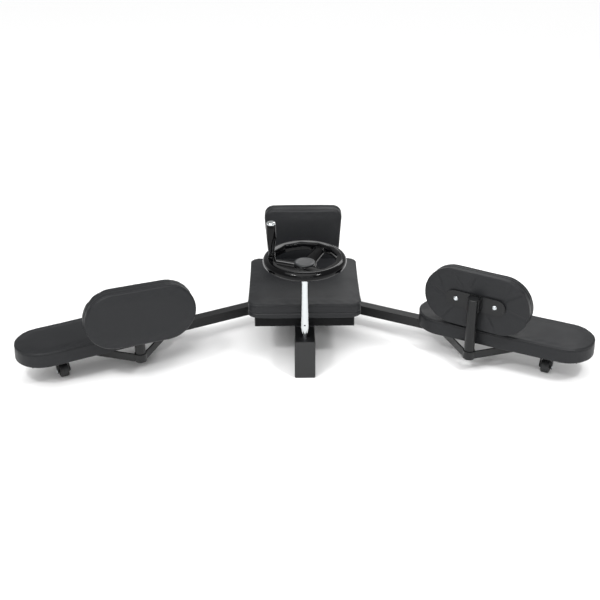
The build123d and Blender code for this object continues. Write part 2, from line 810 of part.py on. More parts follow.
def caster_fork(side):
    trail = ahead(side, caster_trail)
    with BuildPart() as fork:
        with BuildSketch(arm_plane(side, crown_bottom)):
            with Locations((caster_at, 0)):
                Circle(caster_fork_width / 2)
        extrude(amount=caster_crown)
        with BuildSketch(arm_plane(side, crown_bottom)):
            with Locations((caster_at, 0)):
                Circle(caster_pin_d / 2)
        extrude(amount=arm_top - pin_room - crown_bottom)
        for start in (-caster_fork_width / 2, caster_fork_width / 2 - caster_cheek):
            with BuildSketch(caster_side_plane(side, start)):
                with BuildLine():
                    Polyline(
                        (-cheek_half, crown_bottom + caster_crown),
                        (cheek_half, crown_bottom + caster_crown),
                        (cheek_half, crown_bottom - cheek_drop), (trail + cheek_toe, axle_height),
                        (trail, axle_height - cheek_toe), (trail - cheek_toe, axle_height),
                        (-cheek_half, crown_bottom - cheek_drop), close=True,
                    )
                make_face()
            extrude(amount=caster_cheek)
        with BuildSketch(caster_side_plane(side, -caster_fork_width / 2)):
            with Locations((trail, axle_height)):
                Circle(caster_axle_d / 2)
        extrude(amount=caster_fork_width)
    return fork


def caster_wheel(side):
    with BuildPart() as wheel:
        with BuildSketch(caster_side_plane(side, -caster_wheel_width / 2)):
            with Locations((ahead(side, caster_trail), axle_height)):
                Circle(caster_wheel_d / 2)
                Circle(caster_axle_d / 2 + running_fit, mode=Mode.SUBTRACT)
        extrude(amount=caster_wheel_width)
        outer = wheel.edges().filter_by(GeomType.CIRCLE).sort_by(SortBy.RADIUS)[-2:]
        fillet(outer, tread_round)
    return wheel


for side in (RIGHT, LEFT):
    for name, make in (
        ("arm_tube", arm_tube_part), ("sector_gear", sector_gear),
        ("leg_board", leg_board), ("leg_cushion", leg_cushion), ("brace", v_brace),
        ("spigot", post_spigot), ("pad_post", pad_post), ("post_cap", post_end_cap),
        ("strap", strap_bracket), ("strap_bolts", strap_bolts), ("oval_board", oval_board),
        ("oval_cushion", oval_cushion), ("caster_fork", caster_fork), ("caster_wheel", caster_wheel),
    ):
        save(make(side), f"{side_name(side)}_{name}")

# ---- Seat ---------------------------------------------------------------------------------------
bolt_places = [(x, start + crossbar / 2) for x in (-seat_bolt_x, seat_bolt_x) for start in crossbar_starts]
crossbar_places = [(start + crossbar / 2, beam_height + crossbar / 2) for start in crossbar_starts]
with BuildPart() as crossbars:
    with BuildSketch(Plane.YZ.offset(-crossbar_length / 2)):
        with Locations(*crossbar_places):
            RectangleRounded(crossbar, crossbar, crossbar_corner)
            Rectangle(crossbar - 2 * crossbar_wall, crossbar - 2 * crossbar_wall, mode=Mode.SUBTRACT)
    extrude(amount=crossbar_length)
    with BuildSketch(Plane.XY.offset(beam_height)):
        with Locations(*bolt_places):
            Circle(seat_bolt_head_d / 2 + spanner_room)
    extrude(amount=crossbar_wall, mode=Mode.SUBTRACT)
    with BuildSketch(Plane.XY.offset(seat_bottom - crossbar_wall)):
        with Locations(*bolt_places):
            Circle(seat_bolt_d / 2)
    extrude(amount=crossbar_wall, mode=Mode.SUBTRACT)
save(crossbars, "crossbars")

with BuildPart() as crossbar_caps:
    for side in (RIGHT, LEFT):
        with BuildSketch(Plane.YZ.offset(side * crossbar_length / 2)):
            with Locations(*crossbar_places):
                RectangleRounded(crossbar, crossbar, crossbar_corner)
        extrude(amount=side * tube_cap)
        with BuildSketch(Plane.YZ.offset(side * crossbar_length / 2)):
            with Locations(*crossbar_places):
                Rectangle(crossbar - 2 * crossbar_wall, crossbar - 2 * crossbar_wall)
        extrude(amount=-side * tube_plug)
save(crossbar_caps, "crossbar_caps")

seat_middle = seat_front + seat_depth / 2
with BuildPart() as seat_board:
    with BuildSketch(Plane.XY.offset(seat_bottom)):
        with Locations((0, seat_middle)):
            RectangleRounded(
                seat_width - 2 * board_inset, seat_depth - 2 * board_inset,
                seat_corner - board_inset,
            )
        with Locations(*bolt_places):
            Circle(seat_bolt_d / 2, mode=Mode.SUBTRACT)
    extrude(amount=board)
save(seat_board, "seat_board")

with BuildPart() as seat_cushion:
    with BuildSketch(Plane.XY.offset(seat_bottom)):
        with Locations((0, seat_middle)):
            RectangleRounded(seat_width, seat_depth, seat_corner)
    extrude(amount=seat_thickness)
    fillet(seat_cushion.edges().group_by(Axis.Z)[-1], cushion_edge)
    with BuildSketch(Plane.XY.offset(seat_bottom)):
        with Locations((0, seat_middle)):
            RectangleRounded(
                seat_width - 2 * board_inset, seat_depth - 2 * board_inset,
                seat_corner - board_inset,
            )
    extrude(amount=board, mode=Mode.SUBTRACT)
save(seat_cushion, "seat_cushion")

with BuildPart() as seat_bolts:
    with BuildSketch(Plane.XY.offset(seat_bottom - crossbar_wall - seat_bolt_head)):
        with Locations(*bolt_places):
            RegularPolygon(seat_bolt_head_d / 2, 6, major_radius=False)
    extrude(amount=seat_bolt_head)
    with BuildSketch(Plane.XY.offset(seat_bottom - crossbar_wall)):
        with Locations(*bolt_places):
            Circle(seat_bolt_d / 2)
    extrude(amount=crossbar_wall + board)
save(seat_bolts, "seat_bolts")


# ---- Backrest -----------------------------------------------------------------------------------
def back_outline(inset):
    half_top = back_top_width / 2 - inset
    half_foot = back_foot_width / 2 - inset
    low = back_top - back_height + inset
    high = back_top - inset
    Polygon((-half_foot, low), (half_foot, low), (half_top, high), (-half_top, high), align=None)


back_bolt_places = [
    (x, back_plate_centre + z)
    for x in (-back_bolt_x, back_bolt_x) for z in (-back_bolt_z, back_bolt_z)
]
with BuildPart() as back_board:
    with BuildSketch(cross_section(back_rear - board)):
        back_outline(board_inset)
    extrude(amount=-board)
    fillet(back_board.edges().filter_by(Axis.Y), back_corner - board_inset)
    with BuildSketch(cross_section(back_rear - board)):
        with Locations(*back_bolt_places):
            Circle(back_bolt_d / 2)
    extrude(amount=-board, mode=Mode.SUBTRACT)
save(back_board, "back_board")

with BuildPart() as back_cushion:
    with BuildSketch(cross_section(back_front)):
        back_outline(0)
    extrude(amount=-back_thickness)
    fillet(back_cushion.edges().filter_by(Axis.Y), back_corner)
    fillet(back_cushion.faces().sort_by(Axis.Y)[0].edges(), cushion_edge)
    add(back_board.part, mode=Mode.SUBTRACT)
    with BuildSketch(cross_section(back_rear - board)):
        with Locations(*back_bolt_places):
            Circle(back_bolt_d / 2)
    extrude(amount=-board, mode=Mode.SUBTRACT)
save(back_cushion, "back_cushion")

plate_width, plate_height, plate_thickness = back_plate
with BuildPart() as back_plate_part:
    with BuildSketch(cross_section(back_rear)):
        with Locations((0, back_plate_centre)):
            RectangleRounded(plate_width, plate_height, back_plate_corner)
        with Locations(*back_bolt_places):
            Circle(back_bolt_d / 2, mode=Mode.SUBTRACT)
    extrude(amount=-plate_thickness)
save(back_plate_part, "back_plate")

with BuildPart() as back_bolts:
    with BuildSketch(cross_section(back_rear - board)):
        with Locations(*back_bolt_places):
            Circle(back_bolt_d / 2)
    extrude(amount=-(board + plate_thickness))
    with BuildSketch(cross_section(back_rear + plate_thickness)):
        with Locations(*back_bolt_places):
            Circle(back_bolt_head_d / 2)
    extrude(amount=-back_bolt_head)
save(back_bolts, "back_bolts")

post_front = back_rear + plate_thickness
with BuildPart() as backrest_post:
    with BuildSketch(Plane.XY.offset(beam_height)):
        with Locations((0, post_front + back_post[1] / 2)):
            Rectangle(*back_post)
            Rectangle(
                back_post[0] - 2 * back_post_wall, back_post[1] - 2 * back_post_wall,
                mode=Mode.SUBTRACT,
            )
    extrude(amount=back_post_top - beam_height)
save(backrest_post, "backrest_post")

with BuildPart() as backrest_post_cap:
    with BuildSketch(Plane.XY.offset(back_post_top)):
        with Locations((0, post_front + back_post[1] / 2)):
            Rectangle(*back_post)
    extrude(amount=tube_cap)
    with BuildSketch(Plane.XY.offset(back_post_top - tube_plug)):
        with Locations((0, post_front + back_post[1] / 2)):
            Rectangle(back_post[0] - 2 * back_post_wall, back_post[1] - 2 * back_post_wall)
    extrude(amount=tube_plug)
save(backrest_post_cap, "backrest_post_cap")
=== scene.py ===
import json
from math import radians

import bmesh
import bpy
import numpy as np
from mathutils import Matrix, Vector

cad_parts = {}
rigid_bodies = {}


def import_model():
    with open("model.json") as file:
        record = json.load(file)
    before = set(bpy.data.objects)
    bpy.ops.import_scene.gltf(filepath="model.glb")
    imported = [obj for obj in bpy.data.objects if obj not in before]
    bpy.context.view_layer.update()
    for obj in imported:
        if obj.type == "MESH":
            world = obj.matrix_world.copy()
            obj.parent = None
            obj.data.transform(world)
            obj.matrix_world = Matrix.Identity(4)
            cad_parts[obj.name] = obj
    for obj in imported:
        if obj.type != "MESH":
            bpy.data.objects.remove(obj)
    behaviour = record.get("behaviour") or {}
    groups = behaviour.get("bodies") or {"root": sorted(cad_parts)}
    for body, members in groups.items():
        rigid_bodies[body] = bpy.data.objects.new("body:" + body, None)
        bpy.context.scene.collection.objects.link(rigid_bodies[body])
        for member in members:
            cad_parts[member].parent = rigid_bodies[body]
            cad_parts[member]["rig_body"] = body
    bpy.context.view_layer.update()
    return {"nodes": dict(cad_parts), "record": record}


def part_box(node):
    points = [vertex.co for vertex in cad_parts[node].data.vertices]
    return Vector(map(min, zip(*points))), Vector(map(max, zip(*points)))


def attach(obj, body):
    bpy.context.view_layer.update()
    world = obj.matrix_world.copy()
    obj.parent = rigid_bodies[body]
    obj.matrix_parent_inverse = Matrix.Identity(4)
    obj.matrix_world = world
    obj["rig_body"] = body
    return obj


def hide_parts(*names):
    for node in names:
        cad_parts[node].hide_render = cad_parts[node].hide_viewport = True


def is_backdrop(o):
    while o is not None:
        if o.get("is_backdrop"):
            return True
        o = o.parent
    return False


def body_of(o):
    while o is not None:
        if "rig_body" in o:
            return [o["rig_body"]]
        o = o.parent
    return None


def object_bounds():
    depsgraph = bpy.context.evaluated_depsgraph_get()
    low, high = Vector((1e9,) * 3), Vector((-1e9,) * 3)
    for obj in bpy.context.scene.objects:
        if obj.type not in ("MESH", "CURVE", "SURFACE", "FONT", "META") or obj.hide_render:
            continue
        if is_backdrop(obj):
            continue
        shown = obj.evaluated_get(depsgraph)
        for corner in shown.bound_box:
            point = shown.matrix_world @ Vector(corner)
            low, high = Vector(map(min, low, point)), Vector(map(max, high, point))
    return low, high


# A seated leg-stretching machine: black powder-coated frame, dark vinyl pads, a glossy phenolic
# handwheel on a chrome stem. Metres, with the origin where the stem's axis meets the floor.

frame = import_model()
joints = {joint["name"]: joint for joint in frame["record"]["behaviour"]["joints"]}
slotOf = {part["node"]: part["material_slot"] for part in frame["record"]["subparts"]}
print("frame loaded:", len(frame["nodes"]), "nodes")

mm = 0.001


# Helpers for colours, nodes and meshes

def linear(hexText):
    # sRGB hex to the linear colour that a shader takes
    parts = [int(hexText[i:i + 2], 16) / 255 for i in (1, 3, 5)]
    return [c / 12.92 if c <= 0.04045 else ((c + 0.055) / 1.055) ** 2.4 for c in parts] + [1.0]


def scaleFor(millimetres):
    # texture scale whose pattern repeats every so many millimetres
    return 1000.0 / millimetres


def addNode(tree, kind, inputs=None, **settings):
    # one node with its settings; an input is a plain value or another node's output
    node = tree.nodes.new(kind)
    for name, value in settings.items():
        setattr(node, name, value)
    for key, value in (inputs or {}).items():
        if isinstance(value, bpy.types.NodeSocket):
            tree.links.new(value, node.inputs[key])
        else:
            node.inputs[key].default_value = value
    return node


def newMaterial(name, color, **sockets):
    # material with a Principled shader whose plain values are set on its own sockets
    material = bpy.data.materials.new(name)
    material.use_nodes = True
    shader = material.node_tree.nodes["Principled BSDF"]
    shader.inputs["Base Color"].default_value = linear(color)
    for socket, value in sockets.items():
        shader.inputs[socket.replace("_", " ")].default_value = value
    place = addNode(material.node_tree, "ShaderNodeTexCoord").outputs["Object"]
    return material, material.node_tree, shader, place


def gridFaces(rows, columns, closeRows=False, closeColumns=True):
    # quads of a grid of points, row by row, joined round where it closes
    r, c = np.meshgrid(
        np.arange(rows if closeRows else rows - 1),
        np.arange(columns if closeColumns else columns - 1),
        indexing="ij",
    )
    nextRow, nextColumn = (r + 1) % rows, (c + 1) % columns
    corners = [r * columns + c, r * columns + nextColumn,
               nextRow * columns + nextColumn, nextRow * columns + c]
    return np.stack(corners, axis=-1).reshape(-1, 4)


def addPiece(name, points, faces, material, body, slot, sharpAngle=None):
    # mesh from whole arrays, with doubles merged and faces turned outwards
    mesh = bpy.data.meshes.new(name)
    mesh.from_pydata(points.reshape(-1, 3).tolist(), [], faces.tolist())
    shaped = bmesh.new()
    shaped.from_mesh(mesh)
    bmesh.ops.remove_doubles(shaped, verts=shaped.verts, dist=1e-6)
    bmesh.ops.recalc_face_normals(shaped, faces=shaped.faces)
    shaped.to_mesh(mesh)
    shaped.free()
    mesh.shade_smooth()
    if sharpAngle:
        mesh.set_sharp_from_angle(angle=radians(sharpAngle))
    mesh.materials.append(material)
    piece = bpy.data.objects.new(name, mesh)
    bpy.context.scene.collection.objects.link(piece)
    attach(piece, body)
    return piece


def joinGrids(grids):
    # several (points, faces) grids as one set of points and faces
    points, faces, count = [], [], 0
    for gridPoints, quads in grids:
        flat = gridPoints.reshape(-1, 3)
        points.append(flat)
        faces.append(quads + count)
        count += len(flat)
    return np.concatenate(points), np.concatenate(faces)


def roundCorners(corners, radius, steps=6):
    # open profile whose inner corners become short curves that leave each corner by the radius
    corners = np.asarray(corners, float)
    before, at, after = corners[:-2], corners[1:-1], corners[2:]
    back, ahead = before - at, after - at
    backLength = np.linalg.norm(back, axis=1, keepdims=True)
    aheadLength = np.linalg.norm(ahead, axis=1, keepdims=True)
    start = at + back / backLength * np.minimum(radius, backLength * 0.45)
    end = at + ahead / aheadLength * np.minimum(radius, aheadLength * 0.45)
    t = np.linspace(0, 1, steps)[None, :, None]
    bend = (1 - t) ** 2 * start[:, None] + 2 * t * (1 - t) * at[:, None] + t ** 2 * end[:, None]
    return np.concatenate([corners[:1], bend.reshape(-1, 2), corners[-1:]])


def revolve(profile, centre, axis, turns=72):
    # each profile point (distance from the axis, height along it) goes once round the axis
    axis = np.asarray(axis, float)
    side = np.cross(axis, (0, 0, 1) if abs(axis[2]) < 0.9 else (1, 0, 0))
    side /= np.linalg.norm(side)
    other = np.cross(axis, side)
    angle = np.linspace(0, 2 * np.pi, turns, endpoint=False)
    ring = np.cos(angle)[:, None] * side + np.sin(angle)[:, None] * other
    points = (np.asarray(centre) + profile[:, None, :1] * ring[None]
              + profile[:, None, 1:] * axis[None, None])
    return points, gridFaces(len(profile), turns)


def evaluatedMesh(piece):
    # copy of a piece's mesh with its modifiers applied
    return bpy.data.meshes.new_from_object(
        piece.evaluated_get(bpy.context.evaluated_depsgraph_get()))


def ease(values, start, end):
    # 0 before start, 1 after end, smooth between
    t = np.clip((values - start) / (end - start), 0, 1)
    return t * t * (3 - 2 * t)


# Materials

def embossedVinyl():
    # upholstery vinyl, a calendered PVC skin embossed with a pebble grain: a broad soft sheen
    # that breaks up in the grain, with slightly paler rubbed patches
    look = {"color": "#18191b", "rubbed": "#1f2022", "pebble": 2.4, "pore": 0.9, "patch": 70,
            "pebbleDepth": 0.10 * mm, "poreDepth": 0.035 * mm, "roughness": (0.40, 0.52)}
    material, tree, shader, place = newMaterial("embossedVinyl", look["color"], IOR=1.5,
                                                Specular_IOR_Level=0.26)
    patches = addNode(tree, "ShaderNodeTexNoise",
                      {"Vector": place, "Scale": scaleFor(look["patch"]), "Detail": 4.0})
    color = addNode(tree, "ShaderNodeMix", {0: patches.outputs["Fac"], 6: linear(look["color"]),
                                            7: linear(look["rubbed"])}, data_type="RGBA")
    rough = addNode(tree, "ShaderNodeMapRange",
                    {"Value": patches.outputs["Fac"], "From Min": 0.3, "From Max": 0.7,
                     "To Min": look["roughness"][0], "To Max": look["roughness"][1]})
    # pebbles are drawn about twice as coarse as real ones, so that they show
    pebbles = addNode(tree, "ShaderNodeTexVoronoi",
                      {"Vector": place, "Scale": scaleFor(look["pebble"]), "Smoothness": 0.6},
                      feature="SMOOTH_F1")
    pores = addNode(tree, "ShaderNodeTexNoise",
                    {"Vector": place, "Scale": scaleFor(look["pore"]), "Detail": 2.0})
    grain = addNode(tree, "ShaderNodeBump",
                    {"Height": pebbles.outputs["Distance"], "Distance": look["pebbleDepth"],
                     "Strength": 0.8}, invert=True)
    skin = addNode(tree, "ShaderNodeBump",
                   {"Height": pores.outputs["Fac"], "Distance": look["poreDepth"],
                    "Strength": 0.6, "Normal": grain.outputs["Normal"]})
    tree.links.new(color.outputs[2], shader.inputs["Base Color"])
    tree.links.new(rough.outputs["Result"], shader.inputs["Roughness"])
    tree.links.new(skin.outputs["Normal"], shader.inputs["Normal"])
    return material


def powderCoat(name, sheen, duller):
    # polyester powder baked on steel: satin black with a faint orange peel and fine dust specks;
    # sheen is its specular level, and duller is added to its roughness
    look = {"color": "#0d0e0f", "dust": "#1b1c1e", "peel": 2.6, "peelDepth": 0.03 * mm,
            "speck": 1.4, "patch": 45, "roughness": (0.30, 0.42)}
    material, tree, shader, place = newMaterial(name, look["color"], IOR=1.5,
                                                Specular_IOR_Level=sheen)
    patches = addNode(tree, "ShaderNodeTexNoise",
                      {"Vector": place, "Scale": scaleFor(look["patch"]), "Detail": 5.0})
    specks = addNode(tree, "ShaderNodeTexNoise",
                     {"Vector": place, "Scale": scaleFor(look["speck"]), "Detail": 1.0})
    few = addNode(tree, "ShaderNodeMapRange",
                  {"Value": specks.outputs["Fac"], "From Min": 0.58, "From Max": 0.75})
    color = addNode(tree, "ShaderNodeMix", {0: few.outputs["Result"], 6: linear(look["color"]),
                                            7: linear(look["dust"])}, data_type="RGBA")
    rough = addNode(tree, "ShaderNodeMapRange",
                    {"Value": patches.outputs["Fac"], "From Min": 0.3, "From Max": 0.7,
                     "To Min": look["roughness"][0] + duller,
                     "To Max": look["roughness"][1] + duller})
    peel = addNode(tree, "ShaderNodeTexNoise",
                   {"Vector": place, "Scale": scaleFor(look["peel"]), "Detail": 1.0})
    bump = addNode(tree, "ShaderNodeBump", {"Height": peel.outputs["Fac"],
                                            "Distance": look["peelDepth"], "Strength": 0.7})
    tree.links.new(color.outputs[2], shader.inputs["Base Color"])
    tree.links.new(rough.outputs["Result"], shader.inputs["Roughness"])
    tree.links.new(bump.outputs["Normal"], shader.inputs["Normal"])
    return material


def polishedPhenolic():
    # compression-moulded phenolic, buffed: near-black with mirror-like streaks, and faint flow
    # marks that soften them
    look = {"color": "#050506", "flow": 28, "flowDepth": 0.12 * mm, "roughness": (0.06, 0.13)}
    material, tree, shader, place = newMaterial("polishedPhenolic", look["color"], IOR=1.6,
                                                Specular_IOR_Level=0.13)
    flow = addNode(tree, "ShaderNodeTexNoise",
                   {"Vector": place, "Scale": scaleFor(look["flow"]), "Detail": 2.0,
                    "Distortion": 0.6})
    rough = addNode(tree, "ShaderNodeMapRange",
                    {"Value": flow.outputs["Fac"], "To Min": look["roughness"][0],
                     "To Max": look["roughness"][1]})
    bump = addNode(tree, "ShaderNodeBump", {"Height": flow.outputs["Fac"],
                                            "Distance": look["flowDepth"], "Strength": 0.35})
    tree.links.new(rough.outputs["Result"], shader.inputs["Roughness"])
    tree.links.new(bump.outputs["Normal"], shader.inputs["Normal"])
    return material


def platedMetal(name, color, roughness, patch, spread):
    # plated steel: patch is the size of the faint cloudiness, spread its change of roughness
    material, tree, shader, place = newMaterial(name, color, Metallic=1.0)
    cloud = addNode(tree, "ShaderNodeTexNoise",
                    {"Vector": place, "Scale": scaleFor(patch), "Detail": 4.0})
    rough = addNode(tree, "ShaderNodeMapRange",
                    {"Value": cloud.outputs["Fac"], "From Min": 0.3, "From Max": 0.7,
                     "To Min": roughness, "To Max": roughness + spread})
    tree.links.new(rough.outputs["Result"], shader.inputs["Roughness"])
    return material


def turnedMetal(name, color, roughness, pitch):
    # machined metal: fine tool marks that blur reflections and a thin oily unevenness
    material, tree, shader, place = newMaterial(name, color, Metallic=1.0)
    marks = addNode(tree, "ShaderNodeTexNoise",
                    {"Vector": place, "Scale": scaleFor(pitch), "Detail": 3.0})
    rough = addNode(tree, "ShaderNodeMapRange",
                    {"Value": marks.outputs["Fac"], "To Min": roughness,
                     "To Max": roughness + 0.15})
    bump = addNode(tree, "ShaderNodeBump", {"Height": marks.outputs["Fac"],
                                            "Distance": 0.02 * mm, "Strength": 0.5})
    tree.links.new(rough.outputs["Result"], shader.inputs["Roughness"])
    tree.links.new(bump.outputs["Normal"], shader.inputs["Normal"])
    return material


def mouldedPlastic(name, color, roughness, texture, depth):
    # injection-moulded plastic or rubber: an even spark-eroded texture of that size and depth
    material, tree, shader, place = newMaterial(name, color, IOR=1.5)
    spark = addNode(tree, "ShaderNodeTexNoise",
                    {"Vector": place, "Scale": scaleFor(texture), "Detail": 2.0})
    scuff = addNode(tree, "ShaderNodeTexNoise",
                    {"Vector": place, "Scale": scaleFor(22), "Detail": 6.0})
    rough = addNode(tree, "ShaderNodeMapRange",
                    {"Value": scuff.outputs["Fac"], "To Min": roughness - 0.08,
                     "To Max": roughness + 0.1})
    bump = addNode(tree, "ShaderNodeBump", {"Height": spark.outputs["Fac"],
                                            "Distance": depth, "Strength": 0.6})
    tree.links.new(rough.outputs["Result"], shader.inputs["Roughness"])
    tree.links.new(bump.outputs["Normal"], shader.inputs["Normal"])
    return material


def birchPlywood():
    # birch plywood stained black: the veneers still show as faint bands on the cut edge, and
    # the face has long soft grain
    look = {"pale": "#2b2723", "brown": "#1a1714", "veneer": 3.0, "grain": 9}
    material, tree, shader, place = newMaterial("stainedBirchPlywood", look["pale"], Roughness=0.62)
    stretched = addNode(tree, "ShaderNodeMapping", {"Vector": place, "Scale": (0.12, 1, 1)})
    grain = addNode(tree, "ShaderNodeTexNoise",
                    {"Vector": stretched.outputs["Vector"], "Scale": scaleFor(look["grain"]),
                     "Detail": 6.0, "Distortion": 0.8})
    veneers = addNode(tree, "ShaderNodeTexWave",
                      {"Vector": place, "Scale": scaleFor(look["veneer"]) / 20,
                       "Distortion": 0.6}, bands_direction="Z")
    mixed = addNode(tree, "ShaderNodeMath", {0: grain.outputs["Fac"], 1: veneers.outputs["Fac"]},
                    operation="MULTIPLY")
    color = addNode(tree, "ShaderNodeMix", {0: mixed.outputs["Value"], 6: linear(look["pale"]),
                                            7: linear(look["brown"])}, data_type="RGBA")
    bump = addNode(tree, "ShaderNodeBump", {"Height": grain.outputs["Fac"],
                                            "Distance": 0.06 * mm, "Strength": 0.5})
    tree.links.new(color.outputs[2], shader.inputs["Base Color"])
    tree.links.new(bump.outputs["Normal"], shader.inputs["Normal"])
    return material


finishes = {
    "frame_steel": powderCoat("satinPowderCoat", 0.33, 0),
    "vinyl": embossedVinyl(),
    "bakelite": polishedPhenolic(),
    "chrome": platedMetal("brightChrome", "#cacecf", 0.10, 40, 0.06),    # mirror-like and cool
    "zinc": platedMetal("brightZincPlate", "#cdd1d4", 0.22, 6, 0.14),    # bright but cloudy
    "gear_steel": turnedMetal("machinedSteel", "#8d9093", 0.28, 0.9),    # grey, slightly oily
    "bronze": turnedMetal("sinteredBronze", "#8f6d3f", 0.38, 1.6),       # brown and porous
    "plastic_trim": mouldedPlastic("mouldedPolyethylene", "#151617", 0.46, 1.5, 0.03 * mm),
    "caster_rubber": mouldedPlastic("casterRubber", "#1e1f20", 0.58, 2.2, 0.05 * mm),
    "plywood": birchPlywood(),
}
for node, source in frame["nodes"].items():
    source.data.materials.clear()
    source.data.materials.append(finishes[slotOf[node]])
# the crossbars get a duller copy of the frame's powder coat: its sheen is cut so they read dark,
# painted shade for the shadow that the seat casts on them
finishes["underSeat"] = powderCoat("shadeDarkenedPowderCoat", 0.12, 0.2)    # flat black, no sheen: painted shade under the seat
frame["nodes"]["crossbars"].data.materials[0] = finishes["underSeat"]
finishes["darkPin"] = platedMetal("blackenedSteel", "#1a1b1d", 0.35, 5, 0.12)    # dull, dark
frame["nodes"]["stem_pin"].data.materials[0] = finishes["darkPin"]
print("materials made:", len(finishes))


# Steel, plastic and fastener nodes with softened edges

edgeRadii = {
    "main_beam": 2.0, "front_cap": 1.2, "rear_cap": 1.2, "crossbars": 0.8, "crossbar_caps": 0.8,
    "pivot_brackets": 0.8, "pivot_bolts": 0.7, "seat_bolts": 0.5, "back_bolts": 0.5,
    "back_plate": 0.6, "backrest_post": 1.2, "backrest_post_cap": 0.8, "stem_bush": 0.5,
    "stem_tube": 0.6, "stem_pin": 0.3, "grip_spindle": 0.5,
    "arm_tube": 2.0, "brace": 0.8, "spigot": 0.5, "pad_post": 0.5, "post_cap": 0.4,
    "strap": 0.7, "caster_fork": 0.7,
}


def softenEdges(node, radius):
    # merged copy of a node's mesh whose sharp edges get a small round
    mesh = frame["nodes"][node].data.copy()
    for extra in ("custom_normal", "sharp_edge", "sharp_face"):
        if extra in mesh.attributes:
            mesh.attributes.remove(mesh.attributes[extra])
    shaped = bmesh.new()
    shaped.from_mesh(mesh)
    bmesh.ops.remove_doubles(shaped, verts=shaped.verts, dist=2e-6)
    bmesh.ops.dissolve_limit(shaped, angle_limit=radians(0.4), verts=shaped.verts,
                             edges=shaped.edges)
    shaped.to_mesh(mesh)
    shaped.free()
    mesh.shade_smooth()
    piece = bpy.data.objects.new(node + ".softened", mesh)
    bpy.context.scene.collection.objects.link(piece)
    bevel = piece.modifiers.new("softEdge", "BEVEL")
    bevel.width = radius * mm
    bevel.segments = 2
    bevel.limit_method = "ANGLE"
    bevel.angle_limit = radians(32)
    bevel.harden_normals = True
    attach(piece, body_of(frame["nodes"][node])[0])
    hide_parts(node)
    return piece


for node in frame["nodes"]:
    kind = node.removeprefix("right_").removeprefix("left_")
    if kind in edgeRadii:
        softenEdges(node, edgeRadii[kind])
print("edges softened")


# Places of the arms and posts, from the frame's joints

def armFrame(side):
    # pivot point and unit directions along and across the arm, as the joints lie at rest
    pivot = np.array(joints[side + "_arm_swing"]["pos_m"])[:2]
    caster = np.array(joints[side + "_caster_swivel"]["pos_m"])[:2]
    along = (caster - pivot) / np.linalg.norm(caster - pivot)
    ahead = np.array([along[1], -along[0]]) * (1 if side == "right" else -1)
    return pivot, along, ahead


def postFrame(side):
    # post axis and the unit direction that its oval pad faces
    post = np.array(joints[side + "_pad_swivel"]["pos_m"])[:2]
    low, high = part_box(side + "_oval_cushion")
    facing = np.array([(low.x + high.x) / 2, (low.y + high.y) / 2]) - post
    return post, facing / np.linalg.norm(facing)


# Weld beads

weld = {"radius": 1.9 * mm, "pitch": 4.2 * mm, "ripple": 0.14}


def weldBeads(name, runs, body):
    # tube along each straight run; its radius ripples once a pitch and closes at both ends
    grids = []
    for start, end in runs:
        start, end = np.array(start, float), np.array(end, float)
        length = np.linalg.norm(end - start)
        along = (end - start) / length
        side = np.cross(along, (0.31, 0.52, 0.79))
        side /= np.linalg.norm(side)
        other = np.cross(along, side)
        steps = np.linspace(0, length, max(12, int(length / weld["pitch"] * 8)))
        taper = np.sqrt(np.clip(1 - (1 - np.minimum(steps, length - steps) / weld["radius"])
                                .clip(0, 1) ** 2, 0, 1))
        radius = weld["radius"] * taper * (
            1 - weld["ripple"] + weld["ripple"] * np.abs(np.sin(np.pi * steps / weld["pitch"])))
        angle = np.linspace(0, 2 * np.pi, 10, endpoint=False)
        ring = np.cos(angle)[:, None] * side + np.sin(angle)[:, None] * other
        points = start + steps[:, None, None] * along + radius[:, None, None] * ring[None]
        grids.append((points, gridFaces(len(steps), 10)))
    points, faces = joinGrids(grids)
    return addPiece(name, points, faces, finishes["frame_steel"], body, "frame_steel")


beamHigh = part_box("main_beam")[1]
barLow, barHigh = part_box("crossbars")
barSize = barHigh.z - barLow.z
halfBeam = beamHigh.x - 3 * mm
postLow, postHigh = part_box("backrest_post")
rootRuns = []
for y in (barLow.y, barLow.y + barSize, barHigh.y - barSize, barHigh.y):
    rootRuns.append(((-halfBeam, y, beamHigh.z), (halfBeam, y, beamHigh.z)))
for y in (postLow.y, postHigh.y):
    rootRuns.append(((postLow.x, y, beamHigh.z), (postHigh.x, y, beamHigh.z)))
for x in (postLow.x, postHigh.x):
    rootRuns.append(((x, postLow.y, beamHigh.z), (x, postHigh.y, beamHigh.z)))
bracketLow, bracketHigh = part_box("pivot_brackets")
for x in (-beamHigh.x, beamHigh.x):
    for z in (bracketLow.z, bracketHigh.z):
        rootRuns.append(((x, bracketLow.y + 3 * mm, z), (x, bracketHigh.y - 3 * mm, z)))
weldBeads("frameWelds", rootRuns, "root")

brace = {"at": 446 * mm, "reach": 98 * mm, "spread": 100 * mm, "bar": 4 * mm, "tube": 25 * mm,
         "bottom": 42 * mm, "height": 20 * mm, "sleeve": 29 * mm}
for side in ("right", "left"):
    pivot, along, ahead = armFrame(side)
    runs = []
    for way in (-1, 1):
        for edge in (-1, 1):    # up each side of the bar's foot
            foot = (pivot + along * (brace["at"] + way * brace["spread"] + edge * brace["bar"])
                    + ahead * (brace["tube"] / 2 + 0.4 * mm))
            runs.append(((*foot, brace["bottom"] + 1 * mm),
                         (*foot, brace["bottom"] + brace["height"] - 1 * mm)))
        knee = (pivot + along * (brace["at"] + way * (brace["sleeve"] / 2 - 0.5 * mm))
                + ahead * (brace["reach"] - 3.5 * mm))
        runs.append(((*knee, brace["bottom"] + 1 * mm),
                     (*knee, brace["bottom"] + brace["height"] - 1 * mm)))
    weldBeads(side + "BraceWelds", runs, side + "_arm")
print("weld beads laid")


# Handwheel: rim with finger flats, three spokes and hub, fused like one moulding

